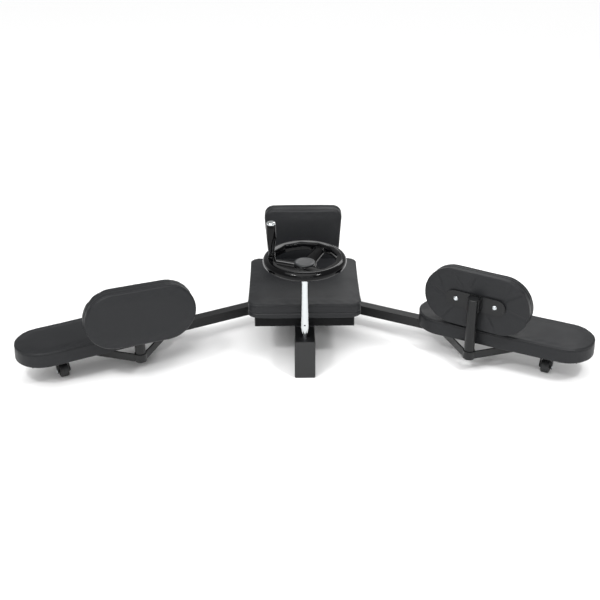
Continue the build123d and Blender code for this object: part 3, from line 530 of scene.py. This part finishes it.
wheelLow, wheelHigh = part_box("handwheel")
wheel = {
    "rim": 11 * mm,             # radius of the rim's section
    "flats": 12, "flatTurn": 6, "holeCorner": 76.5 * mm, "holeFlat": 72.6 * mm,
    "spokeAngles": (180, 60, 300),
    "spokeRoot": (31 * mm, 17 * mm), "spokeTip": (25 * mm, 14 * mm),
    "hubTop": 55 * mm, "hubFoot": 28 * mm, "boss": 17 * mm,
    "gripReach": 76 * mm,
    "voxel": 1.25 * mm,
}
rimHeight = wheelHigh.z - wheel["rim"]
rimRadius = wheelHigh.x - wheel["rim"]
hubTop, hubBottom = rimHeight - 6 * mm, wheelLow.z


def rimGrid():
    # torus whose hole is a polygon: on the inner side the section is cut by an upright flat for
    # each finger, and a shallow hollow runs under it
    around = np.linspace(0, 2 * np.pi, 360, endpoint=False)[:, None]
    across = np.linspace(0, 2 * np.pi, 48, endpoint=False)[None, :]
    share = 2 * np.pi / wheel["flats"]
    off = (around - radians(wheel["flatTurn"])) % share - share / 2     # from a flat's middle
    hole = np.minimum(wheel["holeFlat"] / np.cos(off), wheel["holeCorner"])
    wall = hole + 1.5 * mm * np.sin(across) ** 2
    under = np.clip(np.cos(across - np.pi * 1.25), 0, 1) ** 3
    section = wheel["rim"] - 1.6 * mm * under * np.cos(off / share * np.pi) ** 2
    circle = rimRadius + section * np.cos(across)
    facet = ease(-np.cos(across), 0.2, 0.62)     # how much of the flat wall the section takes
    distance = circle * (1 - facet) + np.minimum(circle, wall) * facet
    points = np.stack([distance * np.cos(around), distance * np.sin(around),
                       rimHeight + section * np.sin(across) + 0 * around], axis=-1)
    return points, gridFaces(360, 48, closeRows=True)


def spokeGrid(degrees):
    # superellipse section, lofted from hub to rim, wider where it runs into either
    t = np.linspace(0, 1, 40)[:, None]
    across = np.linspace(0, 2 * np.pi, 40, endpoint=False)[None, :]
    flare = 1 + 0.3 * np.exp(-t / 0.12) + 0.3 * np.exp(-(1 - t) / 0.10)
    halfWidth = (wheel["spokeRoot"][0] * (1 - t) + wheel["spokeTip"][0] * t) / 2 * flare
    halfHeight = (wheel["spokeRoot"][1] * (1 - t) + wheel["spokeTip"][1] * t) / 2
    c, s = np.cos(across), np.sin(across)
    sideways = halfWidth * np.sign(c) * np.abs(c) ** 0.7
    upward = halfHeight * np.sign(s) * np.abs(s) ** 0.8
    outward = 9 * mm + t * (rimRadius - 9 * mm)
    height = (hubTop - 11 * mm) * (1 - t) + (rimHeight - 2 * mm) * t + upward
    a = radians(degrees)
    points = np.stack([outward * np.cos(a) - sideways * np.sin(a),
                       outward * np.sin(a) + sideways * np.cos(a), height], axis=-1)
    ends = [points[:1].mean(axis=1, keepdims=True).repeat(40, axis=1), points,
            points[-1:].mean(axis=1, keepdims=True).repeat(40, axis=1)]
    return np.concatenate(ends), gridFaces(42, 40)


def makeHandwheel():
    top, foot = wheel["hubTop"] / 2, wheel["hubFoot"] / 2
    hub = roundCorners([(0, hubBottom), (foot, hubBottom), (foot, hubBottom + 8 * mm),
                        (top, hubTop - 8 * mm), (top, hubTop), (0, hubTop)], 2.5 * mm)
    bossFoot, bossTop = rimHeight - 4 * mm, wheelHigh.z + 1.2 * mm
    boss = roundCorners([(0, bossFoot), (wheel["boss"] / 2 + 1.5 * mm, bossFoot),
                         (wheel["boss"] / 2, bossTop), (0, bossTop)], 1.2 * mm)
    grids = [rimGrid(), *[spokeGrid(a) for a in wheel["spokeAngles"]],
             revolve(hub, (0, 0, 0), (0, 0, 1)),
             revolve(boss, (-wheel["gripReach"], 0, 0), (0, 0, 1))]
    points, faces = joinGrids(grids)
    piece = addPiece("scallopedHandwheel", points, faces, finishes["bakelite"],
                     "handwheel_assembly", "bakelite")
    remesh = piece.modifiers.new("fuse", "REMESH")
    remesh.mode = "VOXEL"
    remesh.voxel_size = wheel["voxel"]
    smooth = piece.modifiers.new("polish", "SMOOTH")
    smooth.factor = 0.5
    smooth.iterations = 3
    fused = evaluatedMesh(piece)
    piece.modifiers.clear()
    piece.data = fused
    fused.shade_smooth()
    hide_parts("handwheel")
    return piece


makeHandwheel()

capLow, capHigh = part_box("hub_cap")
capRadius = (capHigh.x - capLow.x) / 2 * 1.15     # its rim stands a little over the hub
capProfile = roundCorners([(0, capLow.z - 1 * mm), (capRadius, capLow.z - 1 * mm),
                           (capRadius, capHigh.z - 0.8 * mm), (capRadius * 0.86, capHigh.z),
                           (capRadius * 0.5, capHigh.z - 0.5 * mm), (0, capHigh.z - 0.6 * mm)],
                          1.2 * mm)
hubCap = addPiece("hubCapDisc", *revolve(capProfile, (0, 0, 0), (0, 0, 1), 96),
                  mouldedPlastic("satinGreyCap", "#242628", 0.36, 1.2, 0.02 * mm),
                  "handwheel_assembly", "bakelite")
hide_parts("hub_cap")

gripLow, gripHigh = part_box("grip")
grip = {"foot": 6.5 * mm, "belly": 11.2 * mm, "mouth": 10.0 * mm, "bore": 4.05 * mm}


def gripProfile():
    # radius along the grip: a narrow collar, a waist, a slow swell and a rounded shoulder
    length = gripHigh.z - gripLow.z
    t = np.linspace(0, 1, 90)
    swell = grip["foot"] + (grip["belly"] - grip["foot"]) * ease(t, 0.02, 0.62)
    shoulder = (grip["belly"] - grip["mouth"]) * ease(t, 0.86, 1.0) ** 2
    collar = 1.1 * mm * np.exp(-((t - 0.045) / 0.028) ** 2)
    radius = swell - shoulder + collar - 0.5 * mm * np.exp(-((t - 0.11) / 0.02) ** 2)
    body = np.stack([radius, gripLow.z + t * length], axis=1)
    return np.concatenate([[(grip["bore"], gripLow.z)], body, [(grip["bore"], gripHigh.z)],
                           [(grip["bore"], gripLow.z)]])


turningGrip = addPiece("turningGrip",
                       *revolve(gripProfile(), (-wheel["gripReach"], 0, 0), (0, 0, 1), 64),
                       finishes["bakelite"], "grip_body", "bakelite", 50)
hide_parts("grip")
print("handwheel and grip made")


# Fasteners with real heads

screwHead = {"radius": 4.9 * mm, "height": 2.6 * mm, "socket": 2.0 * mm, "socketDepth": 1.6 * mm,
             "washer": 5.6 * mm, "washerThickness": 0.9 * mm, "spacing": 49 * mm, "deep": 14 * mm}


def buttonHead(centre, axis):
    # domed head that falls into a six-sided socket, over a thin washer and a short shank
    angle = np.linspace(0, 2 * np.pi, 60, endpoint=False)
    r, h = screwHead["radius"], screwHead["height"]
    t = np.linspace(0, 1, 12)
    mouth = screwHead["socket"] * 1.25
    dome = np.stack([mouth + (r - mouth) * np.sin(t * np.pi / 2),
                     0.6 * mm + (h - 0.6 * mm) * np.cos(t * np.pi / 2) ** 0.9], axis=1)
    outer = revolve(np.concatenate([dome, [(r, 0)], [(r * 0.6, 0)]]), centre, axis, 60)[0]
    hexagon = screwHead["socket"] / np.cos((angle + np.pi / 6) % (np.pi / 3) - np.pi / 6)
    levels = np.array([h, h - screwHead["socketDepth"], h - screwHead["socketDepth"]])
    spread = np.array([1.0, 1.0, 0.0])
    unit = (outer[0] - np.asarray(centre) - levels[0] * np.asarray(axis))
    unit = unit / np.linalg.norm(unit, axis=1, keepdims=True)
    socket = (np.asarray(centre) + levels[:, None, None] * np.asarray(axis)
              + spread[:, None, None] * hexagon[None, :, None] * unit[None])
    head = np.concatenate([socket[::-1], outer])
    wide, thin = screwHead["washer"], -screwHead["washerThickness"]
    washer = roundCorners([(0, 0), (wide, 0), (wide, thin), (0, thin)], 0.3 * mm)
    shank = np.array([(0, 0), (4 * mm, 0), (4 * mm, -screwHead["deep"]), (0, -screwHead["deep"])])
    return joinGrids([(head, gridFaces(len(head), 60)), revolve(washer, centre, axis, 60),
                      revolve(shank, centre, axis, 24)])


strapFace = 14 * mm     # from the post's axis to the strap's near face
for side in ("right", "left"):
    post, facing = postFrame(side)
    low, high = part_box(side + "_strap_bolts")
    sideways = np.array([-facing[1], facing[0]])
    heads = []
    for way in (-1, 1):
        at = (post + facing * (strapFace - screwHead["washerThickness"])
              + way * sideways * screwHead["spacing"])
        heads.append(buttonHead((*at, (low.z + high.z) / 2), (*-facing, 0)))
    piece = addPiece(side + "StrapScrews", *joinGrids(heads), finishes["zinc"],
                     side + "_oval_pad", "zinc", 35)
    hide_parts(side + "_strap_bolts")


# Casters: solid rubber tyre with a shallow tread on a recessed plastic hub

caster = {"tyreEdge": 2.2 * mm, "hub": 9.2 * mm, "recess": 1.6 * mm, "axle": 2.55 * mm,
          "grooves": 3, "cheek": 15.4 * mm}
for side in ("right", "left"):
    low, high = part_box(side + "_caster_wheel")
    pivot, along, ahead = armFrame(side)
    centre = ((low.x + high.x) / 2, (low.y + high.y) / 2, (low.z + high.z) / 2)
    radius, half = (high.z - low.z) / 2, 10 * mm
    across = np.linspace(-half + caster["tyreEdge"], half - caster["tyreEdge"], 61)
    tread = radius - 0.35 * mm * (0.5 + 0.5 * np.cos(
        across / (half - caster["tyreEdge"]) * np.pi * caster["grooves"] + np.pi)) ** 6
    turn = np.linspace(0, np.pi / 2, 7)[1:]
    shoulder = np.stack([radius - caster["tyreEdge"] + caster["tyreEdge"] * np.cos(turn),
                         half - caster["tyreEdge"] + caster["tyreEdge"] * np.sin(turn)], axis=1)
    face = roundCorners([(radius - caster["tyreEdge"], half), (caster["hub"] + 0.8 * mm, half),
                         (caster["hub"], half - caster["recess"]),
                         (5.2 * mm, half - caster["recess"]), (4.6 * mm, half - 0.3 * mm),
                         (caster["axle"], half - 0.3 * mm)], 0.5 * mm)
    profile = np.concatenate([face[::-1] * (1, -1), shoulder[::-1] * (1, -1),
                              np.stack([tread, across], axis=1), shoulder, face])
    profile = np.concatenate([profile, profile[:1]])
    piece = addPiece(side + "CasterTyre", *revolve(profile, centre, (*along, 0), 80),
                     finishes["caster_rubber"], side + "_caster_roller", "caster_rubber", 40)
    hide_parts(side + "_caster_wheel")
    # rivet heads of the axle, on the fork's cheeks
    rivets = []
    for way in (-1, 1):
        rivet = roundCorners([(0, 0), (4.2 * mm, 0), (3.9 * mm, 1.1 * mm), (2.2 * mm, 1.9 * mm),
                              (0, 2.0 * mm)], 0.6 * mm)
        outside = np.array(centre) + way * caster["cheek"] * np.array([*along, 0])
        rivets.append(revolve(rivet, outside, (*(way * along), 0), 32))
    addPiece(side + "CasterRivets", *joinGrids(rivets), finishes["zinc"], side + "_caster",
             "zinc", 50)
print("screws and casters made")


# Cushions

def roundedOutline(halfU, halfV, corner, count):
    # straight sides joined by quarter circles, resampled in even steps along its length
    turn = np.linspace(0, np.pi / 2, 25)
    arcs = [np.stack([su * (halfU - corner) + corner * np.cos(turn + k * np.pi / 2),
                      sv * (halfV - corner) + corner * np.sin(turn + k * np.pi / 2)], axis=1)
            for k, (su, sv) in enumerate(((1, 1), (-1, 1), (-1, -1), (1, -1)))]
    outline = np.concatenate([*arcs, arcs[0][:1]])
    length = np.concatenate([[0], np.cumsum(np.linalg.norm(np.diff(outline, axis=0), axis=1))])
    steps = np.linspace(0, length[-1], count, endpoint=False)
    return np.stack([np.interp(steps, length, outline[:, k]) for k in (0, 1)], axis=1)


def outlineDistance(u, v, halfU, halfV, corner):
    # signed distance to a rounded rectangle, negative inside it
    qu, qv = np.abs(u) - (halfU - corner), np.abs(v) - (halfV - corner)
    return (np.hypot(np.maximum(qu, 0), np.maximum(qv, 0))
            + np.minimum(np.maximum(qu, qv), 0) - corner)


def widen(v, pad):
    # how much wider than its mean a pad is at height v, for one that tapers
    return 1 + pad["taper"] * v / pad["halfV"]


def toWorld(local, pad):
    # a pad's own (across, up the pad, out of it) coordinates turned into the frame's
    axes = np.array([pad["u"], pad["v"], pad["w"]], float)
    return local @ axes + np.asarray(pad["origin"], float)


def toLocal(world, pad):
    axes = np.array([pad["u"], pad["v"], pad["w"]], float)
    return (world - np.asarray(pad["origin"], float)) @ axes.T


def ringsOf(levels, pad, count):
    # the outline repeated at each (inset, height, scale), row by row
    rings = []
    for inset, height, scale in levels:
        outline = roundedOutline(pad["halfU"] - inset, pad["halfV"] - inset,
                                 max(pad["corner"] - inset, 0.5 * mm), count) * scale
        rings.append(np.stack([outline[:, 0] * widen(outline[:, 1], pad), outline[:, 1],
                               np.full(count, height)], axis=1))
    return np.array(rings)


def foamBlock(pad, count=120):
    # plain block for the swelling: up the side, over a rounded edge and in to the middle
    small, edge, top = pad["shrink"], pad["edge"], pad["thick"] - pad["shrink"]
    turn = np.linspace(0, np.pi / 2, 4)[1:]
    levels = [(small, 0, s) for s in (0.0, 0.35, 0.7, 1.0)]
    levels += [(small + edge * (1 - np.cos(a)), top - edge + edge * np.sin(a), 1.0) for a in turn]
    levels += [(small + edge, top, s) for s in (0.7, 0.35, 0.0)]
    return ringsOf(levels, pad, count), gridFaces(len(levels), count)


def skinBlock(pad, count=400):
    # fine skin: rows over the back, round its edge, up the side where the seams are, over the
    # front edge and in to the middle
    small, edge, tuck = pad["shrink"], pad["edge"], 2.0 * mm
    top = pad["thick"] - pad["crown"]
    back = pad["recess"]
    if back:
        levels = [(back + 1 * mm, 3 * mm, s) for s in (0.0, 0.3, 0.6, 0.85, 1.0)]
        levels += [(back, 2.6 * mm, 1.0), (back - 0.4 * mm, 0.4 * mm, 1.0)]
        levels += [(inset * mm, 0, 1.0) for inset in (7, 6, 5, 4)]
    else:
        levels = [(small + tuck, 0, s) for s in np.linspace(0, 1, 46)]
    turn = np.linspace(0, np.pi / 2, 6)[1:]
    levels += [(small + tuck * (1 - np.sin(a)), tuck * (1 - np.cos(a)), 1.0) for a in turn]
    levels += [(small, h, 1.0) for h in np.linspace(tuck, top - edge, 34)[1:]]
    turn = np.linspace(0, np.pi / 2, 8)[1:]
    levels += [(small + edge * (1 - np.cos(a)), top - edge + edge * np.sin(a), 1.0) for a in turn]
    levels += [(small + edge, top, s) for s in 1 - np.linspace(0, 1, 34)[1:] ** 0.9]
    return ringsOf(levels, pad, count), len(levels)


def coordinates(mesh):
    flat = np.empty(len(mesh.vertices) * 3, np.float32)
    mesh.vertices.foreach_get("co", flat)
    return flat.reshape(-1, 3).astype(float)


def makeFoam(pad):
    points, faces = foamBlock(pad)
    piece = addPiece(pad["name"] + "Foam", toWorld(points.reshape(-1, 3), pad), faces,
                     finishes["vinyl"], pad["body"], "vinyl")
    remesh = piece.modifiers.new("even", "REMESH")
    remesh.mode = "VOXEL"
    remesh.voxel_size = pad["voxel"]
    even = evaluatedMesh(piece)
    piece.modifiers.clear()
    piece.data = even
    return piece


def puffUp(pads, foams):
    # all the foams swell together as cloth under slight pressure, with their backs held; gives
    # each one's points and their travel, capped, in the pad's own coordinates
    scene = bpy.context.scene
    for pad, foam in zip(pads, foams):
        local = toLocal(coordinates(foam.data), pad)
        held = foam.vertex_groups.new(name="held")
        held.add(np.nonzero(local[:, 2] < 2 * mm)[0].tolist(), 1.0, "REPLACE")
        cloth = foam.modifiers.new("puff", "CLOTH")
        cloth.settings.use_pressure = True
        cloth.settings.uniform_pressure_force = pad["pressure"]
        cloth.settings.effector_weights.gravity = 0
        cloth.settings.vertex_group_mass = "held"
        cloth.settings.quality = 4
        cloth.point_cache.frame_end = 20
    for moment in range(1, 21):
        scene.frame_set(moment)
    swells = []
    for pad, foam in zip(pads, foams):
        swollen = evaluatedMesh(foam)
        start = toLocal(coordinates(foam.data), pad)
        travel = toLocal(coordinates(swollen), pad) - start
        length = np.linalg.norm(travel, axis=1, keepdims=True)
        swells.append((start, travel * np.minimum(1, pad["cap"] / np.maximum(length, 1e-9))))
        bpy.data.meshes.remove(swollen)
    scene.frame_set(1)
    return swells


def carriedBy(points, swell, reach=9 * mm):
    # each skin point takes the mean travel of the foam points near it, by a bell of that reach
    start, travel = swell
    carried = np.empty_like(points)
    for first in range(0, len(points), 2000):
        part = points[first:first + 2000]
        gap = (part ** 2).sum(axis=1)[:, None] + (start ** 2).sum(axis=1)[None] - 2 * part @ start.T
        bell = np.exp(-gap / (2 * reach ** 2)) + 1e-12
        carried[first:first + 2000] = bell @ travel / bell.sum(axis=1, keepdims=True)
    return carried


def skinNormals(points):
    # unit normals of a grid of points that closes along its rows, from its own differences
    around = np.roll(points, -1, axis=1) - np.roll(points, 1, axis=1)
    across = np.gradient(points, axis=0)
    normals = np.cross(around, across)
    size = np.linalg.norm(normals, axis=2, keepdims=True)
    normals = normals / np.maximum(size, 1e-12)
    flat = size[..., 0] < 1e-10     # at the poles
    normals[flat] = np.sign(points[..., 2:][flat] - 1 * mm) * np.array([0, 0, 1.0])
    return normals


def makeCushion(pad, swell):
    # fine skin carried by the swollen foam, then sewn: seams, gathers, folds, slow unevenness
    rows, levels = skinBlock(pad)
    if swell is not None:
        rows = rows + carriedBy(rows.reshape(-1, 3), swell).reshape(rows.shape)
    u, v, w = rows[..., 0], rows[..., 1], rows[..., 2]
    u = u / widen(v, pad)
    normals = skinNormals(rows)
    rim = 1 - ease(np.abs(normals[..., 2]), 0.55, 0.95)
    inside = outlineDistance(u, v, pad["halfU"], pad["halfV"], pad["corner"])
    push = np.zeros(u.shape)
    cornerU = np.maximum(np.abs(u) - pad["halfU"] + pad["corner"], 0)
    cornerV = np.maximum(np.abs(v) - pad["halfV"] + pad["corner"], 0)
    turned = np.arctan2(cornerV + 1e-6, cornerU + 1e-6)
    atCorner = ease(np.minimum(cornerU, cornerV), 0, 0.25 * pad["corner"])
    for height, depth, width in pad["seams"]:
        # a seam sinks along the side, and the skin beside it gathers where it turns a corner
        groove = np.exp(-((w - height) / width) ** 2)
        gather = np.sin(turned * pad["corner"] / pad["gatherPitch"] * 2 * np.pi
                        + 1.3 * np.sin(turned * 5 + height * 900))
        push -= depth * rim * groove
        push += (pad["gather"] * rim * atCorner * gather * (1 - groove)
                 * np.exp(-np.abs(w - height) / (6 * mm)))
    wander = (np.sin(u * 31 + 1.7 * np.sin(v * 23)) * np.sin(v * 37 + 0.9) * 0.5
              + np.sin(u * 71 + v * 53 + 2.1) * 0.3)
    push += pad["wander"] * wander * ease(w, pad["thick"] * 0.5, pad["thick"] * 0.9)
    # the skin is pulled down a little all along its front edge and in short gathers beside it
    pull = np.sin(u * 190 + 2 * np.sin(v * 60)) * np.sin(v * 173 + 1.1)
    push += pad["pull"] * pull * np.exp(-((inside + 13 * mm) / (7 * mm)) ** 2) * (1 - rim)
    if pad["folds"]:
        back = 1 - ease(w, 2.5 * mm, 7 * mm)
        for au, av, bu, bv, depth, width in pad["folds"]:
            # a crease runs from a to b over the back, deepest in its middle
            run = np.array([bu - au, bv - av])
            t = np.clip(((u - au) * run[0] + (v - av) * run[1]) / (run @ run), 0, 1)
            away = np.hypot(u - au - t * run[0], v - av - t * run[1])
            crease = (np.exp(-(away / width) ** 2)
                      - 0.5 * np.exp(-((away - 2.2 * width) / width) ** 2))
            push -= depth * back * crease * (0.35 + 0.65 * np.sin(np.pi * t))
    rows = rows + normals * push[..., None]
    rows[..., 2] = np.clip(rows[..., 2], 0, pad["thick"] + 2.5 * mm)
    piece = addPiece(pad["name"], toWorld(rows.reshape(-1, 3), pad),
                     gridFaces(levels, rows.shape[1]), finishes["vinyl"], pad["body"], "vinyl")
    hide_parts(*pad["replaces"])
    return rows


def weltTube(pad, rows, height, radius):
    # thin piped edge: a tube along the skin's own row nearest that height, half sunk in it
    middle = rows[12:-34]
    row = np.argmin(np.abs(middle[..., 2].mean(axis=1) - height))
    path = middle[row]
    count = len(path)
    along = np.roll(path, -1, axis=0) - np.roll(path, 1, axis=0)
    along /= np.linalg.norm(along, axis=1, keepdims=True)
    outward = np.stack([along[:, 1], -along[:, 0], np.zeros(count)], axis=1)
    angle = np.linspace(0, 2 * np.pi, 10, endpoint=False)
    points = (path[:, None] + radius * (np.cos(angle)[None, :, None] * outward[:, None]
                                        + np.sin(angle)[None, :, None] * np.array([0, 0, 1.0])))
    return addPiece(f"{pad['name']}Welt{round(height / mm)}", toWorld(points.reshape(-1, 3), pad),
                    gridFaces(count, 10, closeRows=True), finishes["vinyl"], pad["body"], "vinyl")


common = {"taper": 0.0, "shrink": 0.2 * mm, "edge": 4.5 * mm, "crown": 1.5 * mm, "voxel": 7 * mm,
          "pressure": 4.0, "cap": 2.6 * mm, "wander": 0.35 * mm, "pull": 0.35 * mm,
          "gather": 0.5 * mm, "gatherPitch": 11 * mm, "recess": 8 * mm, "folds": (), "fill": 0.85,
          "weltRadius": 1.6 * mm}
seatLow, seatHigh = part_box("seat_cushion")
backLow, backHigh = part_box("back_cushion")
backFoot = 184 / 204    # the backrest's width at its foot over that at its top
pads = [
    {**common, "name": "seatCushion", "body": "root", "replaces": ["seat_cushion"],
     "origin": (0, (seatLow.y + seatHigh.y) / 2, seatLow.z),
     "u": (1, 0, 0), "v": (0, 1, 0), "w": (0, 0, 1),
     "halfU": seatHigh.x, "halfV": (seatHigh.y - seatLow.y) / 2, "thick": seatHigh.z - seatLow.z,
     "corner": 26 * mm, "seams": ((31.5 * mm, 1.2 * mm, 1.8 * mm), (12.5 * mm, 1.8 * mm, 1.8 * mm)),
     "welt": 32.5 * mm},
    {**common, "name": "backCushion", "body": "root", "replaces": ["back_cushion"],
     "origin": (0, backHigh.y, (backLow.z + backHigh.z) / 2),
     "u": (1, 0, 0), "v": (0, 0, 1), "w": (0, -1, 0),
     "taper": (1 - backFoot) / (1 + backFoot),
     "halfU": backHigh.x * (1 + backFoot) / 2 + 2 * mm,
     "halfV": (backHigh.z - backLow.z) / 2 + 1 * mm, "thick": backHigh.y - backLow.y,
     "corner": 25 * mm,
     "seams": ((31 * mm, 1.2 * mm, 2.0 * mm), (13 * mm, 2.0 * mm, 1.8 * mm)), "welt": 31 * mm},
]
legPad = {"start": 283 * mm, "length": 440 * mm, "width": 140 * mm}
ovalPad = {"length": 264 * mm, "height": 145 * mm, "thick": 35 * mm, "near": 19 * mm}
creases = (     # from (u, v) to (u, v) on an oval's back, depth and width
    (-62, 14, -112, 52, 2.2, 5.6), (-70, 22, -84, 66, 1.7, 5.0), (-78, -4, -124, -16, 1.4, 5.0),
    (72, -6, 122, 22, 2.0, 5.6), (60, -26, 88, -64, 1.5, 5.0), (20, 30, 6, 68, 1.4, 4.4),
    (-30, -32, -52, -68, 1.5, 5.0), (84, 10, 104, 52, 1.7, 4.4), (34, 28, 62, 66, 1.2, 4.4),
)
for side in ("right", "left"):
    pivot, along, ahead = armFrame(side)
    low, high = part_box(side + "_leg_cushion")
    middle = pivot + along * (legPad["start"] + legPad["length"] / 2)
    pads.append({
        **common, "name": side + "LegPad", "body": side + "_arm",
        "replaces": [side + "_leg_cushion"], "origin": (*middle, low.z),
        "u": (*along, 0), "v": (-along[1], along[0], 0), "w": (0, 0, 1),
        "halfU": legPad["length"] / 2, "halfV": legPad["width"] / 2, "thick": high.z - low.z,
        "corner": legPad["width"] / 2 - 0.1 * mm, "gather": 0.3 * mm, "gatherPitch": 17 * mm,
        "seams": ((33.5 * mm, 1.0 * mm, 1.8 * mm),), "welt": 34.5 * mm,
    })
    post, facing = postFrame(side)
    low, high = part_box(side + "_oval_cushion")
    pads.append({
        **common, "name": side + "OvalPad", "body": side + "_oval_pad",
        "replaces": [side + "_oval_cushion", side + "_oval_board"],
        "origin": (*(post + facing * ovalPad["near"]), (low.z + high.z) / 2),
        "u": (-facing[1], facing[0], 0), "v": (0, 0, 1), "w": (*facing, 0),
        "halfU": ovalPad["length"] / 2, "halfV": ovalPad["height"] / 2, "thick": ovalPad["thick"],
        "corner": ovalPad["height"] / 2 - 0.1 * mm, "shrink": -0.8 * mm, "gather": 0.35 * mm,
        "gatherPitch": 16 * mm,
        "seams": ((28.5 * mm, 0.9 * mm, 2.0 * mm), (15 * mm, 1.2 * mm, 1.8 * mm)),
        "welt": 28.5 * mm, "recess": 0,
        "folds": tuple(tuple(value * mm for value in crease) for crease in creases),
    })
swells = [None] * len(pads)
foams = [makeFoam(pad) for pad in pads]
swells = puffUp(pads, foams)
for foam in foams:
    bpy.data.objects.remove(foam)
print("foam swollen")
for pad, swell in zip(pads, swells):
    skin = makeCushion(pad, swell)
    weltTube(pad, skin, pad["welt"], pad["weltRadius"])
print("cushions sewn:", len(pads))


# Stage, light and camera

def makeStage():
    half = 30.0
    mesh = bpy.data.meshes.new("paleFloor")
    mesh.from_pydata([(-half, -half, 0), (half, -half, 0), (half, half, 0), (-half, half, 0)],
                     [], [(0, 1, 2, 3)])
    mesh.materials.append(newMaterial("paleBackdropPaper", "#f6f6f6", Roughness=0.9)[0])
    floor = bpy.data.objects.new("paleFloor", mesh)
    bpy.context.scene.collection.objects.link(floor)
    floor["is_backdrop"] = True


def addLamp(name, kind, energy, location, target, **settings):
    lamp = bpy.data.lights.new(name, kind)
    lamp.energy = energy
    for key, value in settings.items():
        setattr(lamp, key, value)
    holder = bpy.data.objects.new(name, lamp)
    holder.location = location
    holder.rotation_mode = "QUATERNION"
    holder.rotation_quaternion = (Vector(target) - Vector(location)).to_track_quat("-Z", "Y")
    bpy.context.scene.collection.objects.link(holder)


def makeCamera():
    # looks down on the machine from in front, with its turn, pitch and roll in degrees
    look = {"location": (-0.0239, -2.1332, 1.3238), "turn": 0.34, "pitch": 27.71, "roll": -0.31,
            "lens": 61.32}
    turn, pitch, roll = (radians(look[key]) for key in ("turn", "pitch", "roll"))
    forward = Vector((np.sin(turn) * np.cos(pitch), np.cos(turn) * np.cos(pitch), -np.sin(pitch)))
    level = Vector((np.cos(turn), -np.sin(turn), 0))
    up = level.cross(forward)
    right = level * np.cos(roll) + up * np.sin(roll)
    up = -level * np.sin(roll) + up * np.cos(roll)
    data = bpy.data.cameras.new("camera")
    data.lens = look["lens"]
    data.sensor_width = 36
    camera = bpy.data.objects.new("camera", data)
    place = Matrix((right, up, -forward)).transposed().to_4x4()
    place.translation = look["location"]
    camera.matrix_world = place
    bpy.context.scene.collection.objects.link(camera)
    bpy.context.scene.camera = camera


scene = bpy.context.scene
scene.view_settings.view_transform = "Standard"
scene.view_settings.look = "None"
world = bpy.data.worlds.new("studio")
world.use_nodes = True
world.node_tree.nodes["Background"].inputs["Color"].default_value = (1, 1, 1, 1)
world.node_tree.nodes["Background"].inputs["Strength"].default_value = 0.46
scene.world = world
makeStage()
addLamp("skySoft", "SUN", 2.1, (-0.5, -1.3, 3.0), (0, 0, 0), angle=radians(60))
# each soft box with its power, place, target, width and height
softBoxes = (
    ("keyBox", 15, (-0.9, -1.2, 1.9), (0, 0.0, 0.3), 0.34, 0.2),
    ("fillBox", 15, (1.0, -1.0, 1.9), (0, 0.0, 0.3), 0.34, 0.2),
    ("backBox", 13, (0.7, 1.9, 1.7), (0.2, 0.2, 0.1), 1.6, 0.6),
    ("frontBox", 10, (0, -2.4, 1.1), (0, 0.2, 0.3), 1.8, 0.5),
)
for name, power, place, target, width, height in softBoxes:
    addLamp(name, "AREA", power, place, target, shape="RECTANGLE", size=width, size_y=height)
makeCamera()
print("stage, light and camera set")

low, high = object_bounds()
